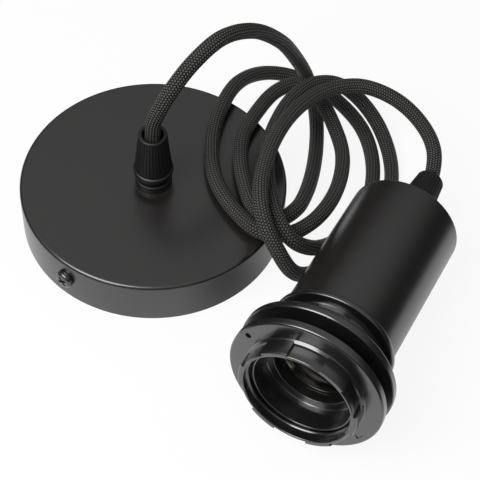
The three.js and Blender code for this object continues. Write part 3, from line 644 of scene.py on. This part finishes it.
# Moulded natural polyamide: milky white, so light goes a little way in and its edges look soft
polyamide, tree = new_material("moulded_natural_polyamide")
spot = add(tree, "ShaderNodeTexCoord").outputs["Object"]
flow = add(tree, "ShaderNodeTexNoise", {"Vector": spot, "Scale": 1 / (NATURAL_FLOW * MM), "Detail": 3.0})
natural_shades = {0: flow, 6: linear(NATURAL_GREY), 7: linear(NATURAL_WHITE)}
moulding = add(tree, "ShaderNodeBsdfPrincipled", {
    "Base Color": add(tree, "ShaderNodeMix", natural_shades, data_type="RGBA").outputs[2],
    "Roughness": add(tree, "ShaderNodeMapRange", {0: flow, 3: 0.35, 4: 0.5}),
    "IOR": 1.53,
    "Subsurface Weight": 0.2,
    "Subsurface Scale": NATURAL_DEPTH * MM,
})
add(tree, "ShaderNodeOutputMaterial", {"Surface": moulding})
dress("terminal_block", polyamide)


def insulation(name, code):
    """Smooth extruded vinyl in one colour, whose shine wavers a little along the wire."""
    material, tree = new_material(name)
    spot = add(tree, "ShaderNodeTexCoord").outputs["Object"]
    wavy = {"Vector": spot, "Scale": 1 / (VINYL_GRAIN * MM), "Detail": 2.0}
    ripple = add(tree, "ShaderNodeTexNoise", wavy)
    relief = {"Strength": 0.3, "Distance": VINYL_RIPPLE * MM, "Height": ripple}
    vinyl = add(tree, "ShaderNodeBsdfPrincipled", {
        "Base Color": linear(code),
        "Roughness": add(tree, "ShaderNodeMapRange", {0: ripple, 3: 0.3, 4: 0.42}),
        "IOR": 1.53,
        "Normal": add(tree, "ShaderNodeBump", relief),
    })
    add(tree, "ShaderNodeOutputMaterial", {"Surface": vinyl})
    return material


live_vinyl = insulation("extruded_brown_vinyl", VINYL_BROWN)
neutral_vinyl = insulation("extruded_blue_vinyl", VINYL_BLUE)
for end in ("canopy", "holder"):
    dress(f"{end}_core_1", live_vinyl)
    dress(f"{end}_core_2", neutral_vinyl)

# The cord grips
# Injection-moulded black polyamide. A gland body with a collar stands on the face, and a hollow
# cone with fine upright ribs is screwed over its collet. The same grip is used on both ends.

GRIP_STEPS = 96
GRIP_SEAT_GAP = 0.05
GRIP_EDGE = 0.2
GRIP_ROUND = 0.5
GRIP_COLLAR = 6.9
GRIP_COLLAR_TOP = 3.0
GRIP_THREAD = 5.5
GRIP_THREAD_TOP = 11.5
GRIP_STEM = 5.0
GRIP_STEM_LENGTH = 8.0
GRIP_BORE = 3.2
GRIP_COLLET = 4.3
GRIP_COLLET_FOOT = 12.3
GRIP_COLLET_TOP = 16.5
CAP_STEPS = 136
CAP_ROOM = 0.3
CAP_BOTTOM = 6.1
CAP_FOOT_ROUND = 0.3
CAP_RIM = 7.45
CAP_RIM_TOP = 7.9
CAP_RIM_ROUND = 0.5
CAP_TOP = 25.9
CAP_BORE = 3.85
CAP_BORE_ROUND = 0.4
CAP_LIP = 4.75
CAP_LIP_ROUND = 0.6
CAP_FUNNEL_FOOT = 12.5
CAP_FUNNEL_TOP = 20.0
CONE_LOW = (6.83, 8.05)
CONE_HIGH = (5.18, 24.4)
RIB_LOW = (6.77, 8.25)
RIB_HIGH = (5.14, 24.8)
RIB_COUNT = 34
RIB_SIZE = 0.24
RIB_SIDES = 8
POLYAMIDE_BLACK = "090909"
POLYAMIDE_GRAIN = 0.35
POLYAMIDE_ROUGHNESS = (0.42, 0.52)
POLYAMIDE_INDEX = 1.53
MOULD_DEPTH = 0.01
MOULD_BLOOM = 9.0


def moulded_black(name, code, grain_size, roughness, index, skin=0.0):
    """Black moulded plastic: a fine mould grain, and a gloss that varies a little over the surface.

    skin is the share of a hard gloss that the mould gives a resin's surface.
    """
    material, tree = new_material(name)
    spot = add(tree, "ShaderNodeTexCoord").outputs["Object"]
    fine = {"Vector": spot, "Scale": 1 / (grain_size * MM), "Detail": 3.0}
    broad = {"Vector": spot, "Scale": 1 / (MOULD_BLOOM * MM), "Detail": 4.0}
    grain = add(tree, "ShaderNodeTexNoise", fine)
    bloom = add(tree, "ShaderNodeTexNoise", broad)
    grain_relief = {"Strength": 0.3, "Distance": MOULD_DEPTH * MM, "Height": grain}
    plastic = add(tree, "ShaderNodeBsdfPrincipled", {
        "Base Color": linear(code),
        "Roughness": add(tree, "ShaderNodeMapRange", {0: bloom, 3: roughness[0], 4: roughness[1]}),
        "IOR": index,
        "Normal": add(tree, "ShaderNodeBump", grain_relief),
        "Coat Weight": skin,
        "Coat Roughness": 0.16,
        "Coat IOR": 1.6,
    })
    add(tree, "ShaderNodeOutputMaterial", {"Surface": plastic})
    return material


# Moulded black polyamide: a matt, fine-grained skin that keeps the cone darker than the painted steel
black_polyamide = moulded_black(
    "moulded_black_polyamide", POLYAMIDE_BLACK, POLYAMIDE_GRAIN, POLYAMIDE_ROUGHNESS, POLYAMIDE_INDEX
)


def tree_with(name, inputs):
    """A geometry tree whose named inputs are (name, kind) pairs, and the sockets that give them."""
    tree = bpy.data.node_groups.new(name, "GeometryNodeTree")
    for label, kind in inputs:
        tree.interface.new_socket(label, in_out="INPUT", socket_type=kind)
    tree.interface.new_socket("Geometry", in_out="OUTPUT", socket_type="NodeSocketGeometry")
    entry = tree.nodes.new("NodeGroupInput")
    return tree, entry.outputs


def close_tree(tree, geometry, material):
    """Ends a geometry tree: instances made real, and the material set."""
    real = add(tree, "GeometryNodeRealizeInstances", {0: geometry})
    smooth = add(tree, "GeometryNodeSetShadeSmooth", {0: real})
    painted = add(tree, "GeometryNodeSetMaterial", {"Geometry": smooth, "Material": material})
    add(tree, "NodeGroupOutput", {0: painted})


def grown(tree, values, place):
    """The mesh that a geometry tree makes from named values, put in place."""
    blank = bpy.data.objects.new("blank", bpy.data.meshes.new("blank"))
    bpy.context.scene.collection.objects.link(blank)
    modifier = blank.modifiers.new("grow", "NODES")
    modifier.node_group = tree
    inputs = [item for item in tree.interface.items_tree if item.in_out == "INPUT"]
    sockets = {item.name: item.identifier for item in inputs}
    for label, value in values.items():
        modifier[sockets[label]] = value
    evaluated = blank.evaluated_get(bpy.context.evaluated_depsgraph_get())
    mesh = bpy.data.meshes.new_from_object(evaluated)
    bpy.data.objects.remove(blank)
    mesh.transform(place)
    return mesh


def joined(name, meshes, material, smooth_angle=35):
    """One piece from several meshes that are moulded as one."""
    bm = bmesh.new()
    for mesh in meshes:
        bm.from_mesh(mesh)
    whole = bpy.data.meshes.new(name)
    bm.to_mesh(whole)
    bm.free()
    whole.materials.clear()
    return add_piece(name, whole, material, smooth_angle)


# Ribs: one round bar along the cone's side, repeated round the axis
rib_tree, given = tree_with("cone_ribs", [
    ("Count", "NodeSocketInt"), ("Low", "NodeSocketVector"), ("High", "NodeSocketVector"),
    ("Size", "NodeSocketFloat"),
])
line = add(rib_tree, "GeometryNodeCurvePrimitiveLine", {"Start": given["Low"], "End": given["High"]})
rib_section = add(
    rib_tree, "GeometryNodeCurvePrimitiveCircle", {"Resolution": RIB_SIDES, "Radius": given["Size"]}
)
rib = add(
    rib_tree,
    "GeometryNodeCurveToMesh",
    {"Curve": line, "Profile Curve": rib_section, "Fill Caps": True},
)
stations = add(rib_tree, "GeometryNodePoints", {"Count": given["Count"]})
index = add(rib_tree, "GeometryNodeInputIndex")
rib_share = add(rib_tree, "ShaderNodeMath", {0: index, 1: given["Count"]}, operation="DIVIDE")
rib_angle = add(rib_tree, "ShaderNodeMath", {0: rib_share, 1: 2 * math.pi}, operation="MULTIPLY")
rib_turn = add(rib_tree, "ShaderNodeCombineXYZ", {2: rib_angle})
ribs = add(
    rib_tree,
    "GeometryNodeInstanceOnPoints",
    {"Points": stations, "Instance": rib, "Rotation": rib_turn},
)
close_tree(rib_tree, ribs, black_polyamide)

# The holder's place: its axis is the shade seat's, and the seat's middle is 76.8 mm from the closed end
SEAT_PLACE = 76.8
SEAT_REACH = 24.0
seat_mount = next(mount for mount in frame["record"]["mounts"] if mount["name"] == "shade_seat")
holder_axis = Vector(seat_mount["axis"])
holder_right = Vector((1, 0, 0))
holder_up = holder_axis.cross(holder_right)
holder_start = Vector(seat_mount["pos_m"]) - holder_up * SEAT_REACH * MM - holder_axis * SEAT_PLACE * MM
holder_turn = Matrix((holder_right, holder_up, holder_axis)).transposed().to_4x4()
holder_place = Matrix.Translation(holder_start) @ holder_turn

grip_body_outline = (
    [(GRIP_BORE, -GRIP_STEM_LENGTH), (GRIP_STEM, -GRIP_STEM_LENGTH), (GRIP_STEM, GRIP_SEAT_GAP)]
    + [(GRIP_COLLAR - GRIP_EDGE, GRIP_SEAT_GAP), (GRIP_COLLAR, GRIP_SEAT_GAP + GRIP_EDGE)]
    + arc(GRIP_COLLAR - GRIP_ROUND, GRIP_COLLAR_TOP - GRIP_ROUND, GRIP_ROUND, 0, 90)
    + [(GRIP_THREAD, GRIP_COLLAR_TOP), (GRIP_THREAD, GRIP_THREAD_TOP)]
    + [(GRIP_COLLET, GRIP_COLLET_FOOT), (GRIP_COLLET, GRIP_COLLET_TOP), (GRIP_BORE, GRIP_COLLET_TOP)]
)
cap_outline = (
    [(GRIP_THREAD + CAP_ROOM, CAP_BOTTOM), (CAP_RIM - CAP_FOOT_ROUND, CAP_BOTTOM)]
    + arc(CAP_RIM - CAP_FOOT_ROUND, CAP_BOTTOM + CAP_FOOT_ROUND, CAP_FOOT_ROUND, -90, 0, 4)
    + arc(CAP_RIM - CAP_RIM_ROUND, CAP_RIM_TOP - CAP_RIM_ROUND, CAP_RIM_ROUND, 0, 70, 4)
    + [CONE_LOW, CONE_HIGH]
    + arc(CAP_LIP, CAP_TOP - CAP_LIP_ROUND, CAP_LIP_ROUND, 10, 90, 5)
    + arc(CAP_BORE + CAP_BORE_ROUND, CAP_TOP - CAP_BORE_ROUND, CAP_BORE_ROUND, 90, 180, 4)
    + [(CAP_BORE, CAP_FUNNEL_TOP), (GRIP_THREAD + CAP_ROOM, CAP_FUNNEL_FOOT)]
)
rib_values = {
    "Count": RIB_COUNT,
    "Low": Vector((RIB_LOW[0], 0, RIB_LOW[1])) * MM,
    "High": Vector((RIB_HIGH[0], 0, RIB_HIGH[1])) * MM,
    "Size": RIB_SIZE * MM,
}
canopy_top = Matrix.Translation((0, 0, CANOPY_HEIGHT * MM))
holder_back = holder_place @ Matrix.Rotation(math.pi, 4, "X")
for end, seat in (("canopy", canopy_top), ("holder", holder_back)):
    body_mesh = turned("gland", grip_body_outline, even_turns(GRIP_STEPS), seat)
    body = add_piece(f"{end}_gland_body", body_mesh, black_polyamide)
    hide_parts(f"{end}_grip_body")
    rib_mesh = grown(rib_tree, rib_values, seat)
    cap_mesh = turned("cap", cap_outline, even_turns(CAP_STEPS), seat)
    cap = joined(f"{end}_gland_cap", [cap_mesh, rib_mesh], black_polyamide)
    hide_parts(f"{end}_grip_cap")
    for piece in (body, cap):
        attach(piece, "root")

# The holder's sleeve
# A deep-drawn steel cup, open to the barrel's flange, powder-coated like the canopy.
# The drawing leaves a small round at its closed end.

SLEEVE_RADIUS = 20.75
SLEEVE_LENGTH = 61.85
SLEEVE_WALL = 0.8
SLEEVE_EDGE = 0.2
SLEEVE_STEPS = 256

sleeve_inner = SLEEVE_RADIUS - SLEEVE_WALL
sleeve_outline = (
    [(STEM_HOLE, 0.0)]
    + arc(sleeve_inner, SLEEVE_WALL, SLEEVE_WALL, -90, 0, 8)
    + [(SLEEVE_RADIUS, SLEEVE_LENGTH - SLEEVE_EDGE), (SLEEVE_RADIUS - SLEEVE_EDGE, SLEEVE_LENGTH)]
    + [(sleeve_inner, SLEEVE_LENGTH), (sleeve_inner, SLEEVE_WALL), (STEM_HOLE, SLEEVE_WALL)]
)
sleeve_mesh = turned("holder_cover", sleeve_outline, even_turns(SLEEVE_STEPS), holder_place)
sleeve = add_piece("holder_cover", sleeve_mesh, powder_coat)
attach(sleeve, "root")
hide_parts("holder_sleeve")
dress("holder_dome", black_polyamide)

# The threaded barrel
# Moulded in glossy black phenolic: a rear flange that butts on the sleeve, a long coarse thread
# for the shade rings, and a wide bore with an inner ledge where the lamp's collar sits.

BARREL_STEPS = 192
BARREL_BACK = 44.0
BARREL_MOUTH = 87.6
BARREL_EDGE = 0.3
INSERT_RADIUS = 19.65
FLANGE_BACK = 62.0
FLANGE_FRONT = 64.15
FLANGE_RADIUS = 22.5
FLANGE_ROUND = 0.6
BORE_RADIUS = 17.54
LEDGE_PLACE = 78.6
THROAT_RADIUS = 14.4
THROAT_ROUND = 0.25
THREAD_CREST = 19.1
THREAD_DEPTH = 0.7
THREAD_PITCH = 3.0
THREAD_START = 1.6
THREAD_END = 1.2
THREAD_SIDES = 10
THREAD_STEPS = 96
PHENOLIC_BLACK = "151515"
PHENOLIC_GRAIN = 0.5
PHENOLIC_ROUGHNESS = (0.2, 0.28)
PHENOLIC_INDEX = 1.75
PHENOLIC_SKIN = 0.6

# Moulded black phenolic: a hard dark gloss with sharp bright lines on every rounded edge
black_phenolic = moulded_black(
    "moulded_black_phenolic", PHENOLIC_BLACK, PHENOLIC_GRAIN, PHENOLIC_ROUGHNESS, PHENOLIC_INDEX,
    skin=PHENOLIC_SKIN,
)

# Thread: a round ridge that is drawn along a helix
thread_tree, given = tree_with("helical_thread", [
    ("Turns", "NodeSocketFloat"), ("Radius", "NodeSocketFloat"), ("Height", "NodeSocketFloat"),
    ("Start", "NodeSocketVector"), ("Size", "NodeSocketFloat"),
])
helix = add(thread_tree, "GeometryNodeCurveSpiral", {
    "Resolution": THREAD_STEPS,
    "Rotations": given["Turns"],
    "Start Radius": given["Radius"],
    "End Radius": given["Radius"],
    "Height": given["Height"],
})
ridge_section = add(
    thread_tree,
    "GeometryNodeCurvePrimitiveCircle",
    {"Resolution": THREAD_SIDES, "Radius": given["Size"]},
)
ridge = add(
    thread_tree,
    "GeometryNodeCurveToMesh",
    {"Curve": helix, "Profile Curve": ridge_section, "Fill Caps": True},
)
placed = add(thread_tree, "GeometryNodeTransform", {"Geometry": ridge, "Translation": given["Start"]})
close_tree(thread_tree, placed, black_phenolic)


def thread_ridge(radius, start, end, place):
    """A right-hand thread's ridge between two heights."""
    return grown(thread_tree, {
        "Turns": (end - start) / THREAD_PITCH,
        "Radius": radius * MM,
        "Height": (end - start) * MM,
        "Start": Vector((0, 0, start)) * MM,
        "Size": THREAD_DEPTH * MM,
    }, place)


thread_root = THREAD_CREST - THREAD_DEPTH
flange_edge = FLANGE_RADIUS - FLANGE_ROUND
mouth_edge = BARREL_MOUTH - BARREL_EDGE
barrel_outline = (
    [(THROAT_RADIUS, BARREL_BACK), (INSERT_RADIUS, BARREL_BACK), (INSERT_RADIUS, FLANGE_BACK)]
    + arc(flange_edge, FLANGE_BACK + FLANGE_ROUND, FLANGE_ROUND, -90, 0, 5)
    + arc(flange_edge, FLANGE_FRONT - FLANGE_ROUND, FLANGE_ROUND, 0, 90, 5)
    + [(thread_root + BARREL_EDGE, FLANGE_FRONT), (thread_root, FLANGE_FRONT + BARREL_EDGE)]
    + arc(thread_root - BARREL_EDGE, mouth_edge, BARREL_EDGE, 0, 90, 4)
    + arc(BORE_RADIUS + BARREL_EDGE, mouth_edge, BARREL_EDGE, 90, 180, 4)
    + [(BORE_RADIUS, LEDGE_PLACE + BARREL_EDGE), (BORE_RADIUS - BARREL_EDGE, LEDGE_PLACE)]
    + arc(THROAT_RADIUS + THROAT_ROUND, LEDGE_PLACE - THROAT_ROUND, THROAT_ROUND, 90, 180, 5)
)
barrel_mesh = turned("barrel", barrel_outline, even_turns(BARREL_STEPS), holder_place)
barrel_thread = thread_ridge(
    thread_root, FLANGE_FRONT + THREAD_START, BARREL_MOUTH - THREAD_END, holder_place
)
barrel = joined("threaded_barrel", [barrel_mesh, barrel_thread], black_phenolic)
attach(barrel, "root")
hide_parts("holder_barrel")

# The shade rings
# One moulding used twice, flat faces together: a flange with a rounded rim and a hub with six teeth
# to turn it by. The bore has the barrel's thread, and the flange has a moulded pip and a half moon.

RING_RADIUS = 28.05
RING_THICKNESS = 3.0
RING_RIM = 0.8
RING_EDGE = 0.3
RING_ROOM = 0.3
RING_THREAD_START = 0.9
RING_THREAD_END = 1.3
BORE_CHAMFER = 0.5
BORE_ROUND = 0.4
HUB_RADIUS = 21.5
HUB_TOP = 9.6
HUB_FILLET = 0.4
HUB_ROUND = 0.5
TOOTH_COUNT = 6
TOOTH_ANGLE = math.radians(27)
TOOTH_STEPS = 14
RECESS_IN = 1.0
LEDGE_SLOPE = 0.35
LEDGE_SLOPE_TOP = 3.9
LEDGE_TOP = 4.1
HAIR = 0.01
MARK_RADIUS = 25.5
MARK_CUT_TOP = 6.0
HOLE_RADIUS = 1.1
HOLE_FLOOR = 1.6
HALF_MOON_RADIUS = 1.7
HALF_MOON_DEPTH = 0.25
HALF_MOON_CHORD = 0.15
CHORD_BAR = 8.0
FRONT_PLACE = 82.2
FRONT_TURN = math.radians(150)
MIDDLE_PLACE = SEAT_PLACE
MIDDLE_TURN = math.radians(89)

ring_bore = THREAD_CREST + RING_ROOM
ring_outline = (
    [(ring_bore + BORE_CHAMFER, 0.0), (RING_RADIUS - RING_EDGE, 0.0), (RING_RADIUS, RING_EDGE)]
    + arc(RING_RADIUS - RING_RIM, RING_THICKNESS - RING_RIM, RING_RIM, 0, 90, 8)
    + [(HUB_RADIUS + HUB_FILLET, RING_THICKNESS), (HUB_RADIUS, RING_THICKNESS + HUB_FILLET)]
)
ledge_start = len(ring_outline)
ring_outline += [(HUB_RADIUS - LEDGE_SLOPE, LEDGE_SLOPE_TOP), (HUB_RADIUS - RECESS_IN, LEDGE_TOP)]
hub_side_start = len(ring_outline)
ring_outline += [(HUB_RADIUS, LEDGE_TOP + HAIR)]
ring_outline += arc(HUB_RADIUS - HUB_ROUND, HUB_TOP - HUB_ROUND, HUB_ROUND, 0, 90, 5)
hub_side_end = len(ring_outline)
ring_outline += arc(ring_bore + BORE_ROUND, HUB_TOP - BORE_ROUND, BORE_ROUND, 90, 180, 4)
ring_outline += [(ring_bore, BORE_CHAMFER)]

tooth_pitch = 2 * math.pi / TOOTH_COUNT
ring_turns, ring_is_tooth = [], []
for tooth in range(TOOTH_COUNT):
    middle = (tooth + 0.5) * tooth_pitch
    spans = (
        (middle - TOOTH_ANGLE / 2, middle + TOOTH_ANGLE / 2, True),
        (middle + TOOTH_ANGLE / 2, middle + tooth_pitch - TOOTH_ANGLE / 2, False),
    )
    for low, high, is_tooth in spans:
        for step in range(TOOTH_STEPS + 1):
            ring_turns.append(low + (high - low) * step / TOOTH_STEPS)
            ring_is_tooth.append(is_tooth)


def castellated(r, z, station, point):
    """Fills the ledge out under a tooth, and draws the hub's side in between two teeth."""
    if ring_is_tooth[station] and ledge_start <= point < hub_side_start:
        r = HUB_RADIUS
    if not ring_is_tooth[station] and hub_side_start <= point < hub_side_end:
        r -= RECESS_IN
    return r, z


def ring_blank(name, place):
    """The ring's moulding without its thread."""
    blank = turned(name, ring_outline, ring_turns, reshape=castellated)
    hole_place = Matrix.Translation((MARK_RADIUS * MM, 0, 0))
    hole = rod(HOLE_RADIUS, HOLE_FLOOR, MARK_CUT_TOP, hole_place, segments=32)
    moon_place = Matrix.Translation((-MARK_RADIUS * MM, 0, 0))
    chord = -CHORD_BAR / 2 - HALF_MOON_RADIUS * HALF_MOON_CHORD
    moon = bored(
        rod(HALF_MOON_RADIUS, RING_THICKNESS - HALF_MOON_DEPTH, MARK_CUT_TOP, moon_place),
        bar(CHORD_BAR, CHORD_BAR, 1.5 * CHORD_BAR, (chord, 0, CHORD_BAR / 2), moon_place),
    )
    mesh = bored(blank, hole, moon)
    mesh.transform(place)
    return mesh


front_seat = holder_place @ Matrix.Translation((0, 0, FRONT_PLACE * MM))
front_seat = front_seat @ Matrix.Rotation(FRONT_TURN, 4, "Z")
middle_seat = holder_place @ Matrix.Translation((0, 0, MIDDLE_PLACE * MM))
middle_seat = middle_seat @ Matrix.Rotation(math.pi, 4, "X") @ Matrix.Rotation(MIDDLE_TURN, 4, "Z")
for name, node, seat in (
    ("front_shade_ring", "shade_ring_front", front_seat),
    ("middle_shade_ring", "shade_ring_middle", middle_seat),
):
    ring_thread = thread_ridge(ring_bore, RING_THREAD_START, HUB_TOP - RING_THREAD_END, seat)
    shade_ring = joined(name, [ring_blank(name, seat), ring_thread], black_phenolic)
    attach(shade_ring, "root")
    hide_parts(node)

# The lamp's screw shell and contacts
# The shell is thin nickel-plated brass with the lamp thread rolled into it and a flared rim.
# It stands on a white ceramic carrier, with a sprung brass strip in the middle.

SHELL_STEPS = 96
SHELL_BOTTOM = 49.8
SHELL_RIM = 74.2
SHELL_RIM_RADIUS = 13.9
SHELL_RIM_EDGE = 0.1
SHELL_OUTER = 13.4
SHELL_WALL = 0.4
SHELL_FLARE = 0.8
SHELL_FLARE_INSIDE = 1.0
SHELL_LIP = 10.5
SHELL_WAVE = 0.75
SHELL_WAVE_START = 1.5
SHELL_WAVE_END = 1.6
SHELL_WAVE_FADE = 1.5
SHELL_PITCH = 3.62
SHELL_ROW = 0.3
# Both nickel colours are darkened as painted shade for the dim bore
NICKEL_DULL_AND_SHADE = "787774"
NICKEL_AND_SHADE = "9E9D99"
NICKEL_GRAIN = 1.2
BISQUE_SPECK = "DEDACF"
BISQUE = "F0EDE4"
BISQUE_GRAIN = 0.5
BISQUE_PITS = 0.03
BRASS_DULL = "B98F45"
BRASS = "D6B468"
BRASS_GRAIN = 0.6

# Rolled nickel-plated brass: a clouded grey mirror that shows the dark bore between bright lines. Its
# colour is darkened below plain nickel as painted shade for the dim bore.
nickel, tree = new_material("rolled_nickel_plated_brass")
spot = add(tree, "ShaderNodeTexCoord").outputs["Object"]
tarnish = add(tree, "ShaderNodeTexNoise", {"Vector": spot, "Scale": 1 / (NICKEL_GRAIN * MM), "Detail": 5.0})
nickel_shades = {0: tarnish, 6: linear(NICKEL_DULL_AND_SHADE), 7: linear(NICKEL_AND_SHADE)}
nickel_face = add(tree, "ShaderNodeBsdfPrincipled", {
    "Base Color": add(tree, "ShaderNodeMix", nickel_shades, data_type="RGBA").outputs[2],
    "Metallic": 1.0,
    "Roughness": add(tree, "ShaderNodeMapRange", {0: tarnish, 3: 0.12, 4: 0.24}),
})
add(tree, "ShaderNodeOutputMaterial", {"Surface": nickel_face})

wave_low, wave_high = SHELL_BOTTOM + SHELL_WAVE_START, SHELL_RIM - SHELL_WAVE_END
wave_rows = round((wave_high - wave_low) / SHELL_ROW)
wave_heights = [wave_low + (wave_high - wave_low) * row / wave_rows for row in range(wave_rows + 1)]
shell_inner = SHELL_OUTER - SHELL_WALL
shell_outline = (
    [(SHELL_LIP, SHELL_BOTTOM), (SHELL_OUTER, SHELL_BOTTOM)]
    + [(SHELL_OUTER, height) for height in wave_heights]
    + [(SHELL_OUTER + SHELL_RIM_EDGE, SHELL_RIM - SHELL_FLARE)]
    + [(SHELL_RIM_RADIUS, SHELL_RIM - SHELL_RIM_EDGE), (SHELL_RIM_RADIUS - SHELL_RIM_EDGE, SHELL_RIM)]
    + [(SHELL_RIM_RADIUS - SHELL_WALL, SHELL_RIM), (shell_inner, SHELL_RIM - SHELL_FLARE_INSIDE)]
    + [(shell_inner, height) for height in reversed(wave_heights)]
    + [(shell_inner, SHELL_BOTTOM + SHELL_WALL), (SHELL_LIP, SHELL_BOTTOM + SHELL_WALL)]
)


def rolled(r, z, station, point):
    """Draws the shell's wall in along the lamp thread's groove."""
    if not wave_low - HAIR < z < wave_high + HAIR:
        return r, z
    fade = min(1.0, (z - wave_low) / SHELL_WAVE_FADE, (wave_high - z) / SHELL_WAVE_FADE)
    phase = 2 * math.pi * (z / SHELL_PITCH - station / SHELL_STEPS)
    return r - SHELL_WAVE * fade * (1 - math.cos(phase)) / 2, z


shell_mesh = turned("lamp_shell", shell_outline, even_turns(SHELL_STEPS), holder_place, rolled)
lamp_shell = add_piece("lamp_shell", shell_mesh, nickel)
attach(lamp_shell, "root")
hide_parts("socket_shell")

# Pressed unglazed ceramic: a chalky off-white with fine specks and no shine
ceramic, tree = new_material("pressed_unglazed_ceramic")
spot = add(tree, "ShaderNodeTexCoord").outputs["Object"]
speck = add(tree, "ShaderNodeTexNoise", {"Vector": spot, "Scale": 1 / (BISQUE_GRAIN * MM), "Detail": 6.0})
bisque_shades = {0: speck, 6: linear(BISQUE_SPECK), 7: linear(BISQUE)}
pits = {"Strength": 0.5, "Distance": BISQUE_PITS * MM, "Height": speck}
bisque = add(tree, "ShaderNodeBsdfPrincipled", {
    "Base Color": add(tree, "ShaderNodeMix", bisque_shades, data_type="RGBA").outputs[2],
    "Roughness": 0.6,
    "IOR": 1.55,
    "Normal": add(tree, "ShaderNodeBump", pits),
})
add(tree, "ShaderNodeOutputMaterial", {"Surface": bisque})
dress("contact_carrier", ceramic)

# Stamped spring brass: a yellow metal with a shine that is uneven like rolled strip's
spring_brass, tree = new_material("stamped_spring_brass")
spot = add(tree, "ShaderNodeTexCoord").outputs["Object"]
uneven = add(tree, "ShaderNodeTexNoise", {"Vector": spot, "Scale": 1 / (BRASS_GRAIN * MM), "Detail": 5.0})
brass_shades = {0: uneven, 6: linear(BRASS_DULL), 7: linear(BRASS)}
brass_face = add(tree, "ShaderNodeBsdfPrincipled", {
    "Base Color": add(tree, "ShaderNodeMix", brass_shades, data_type="RGBA").outputs[2],
    "Metallic": 1.0,
    "Roughness": add(tree, "ShaderNodeMapRange", {0: uneven, 3: 0.2, 4: 0.36}),
})
add(tree, "ShaderNodeOutputMaterial", {"Surface": brass_face})
dress("centre_contact", spring_brass)
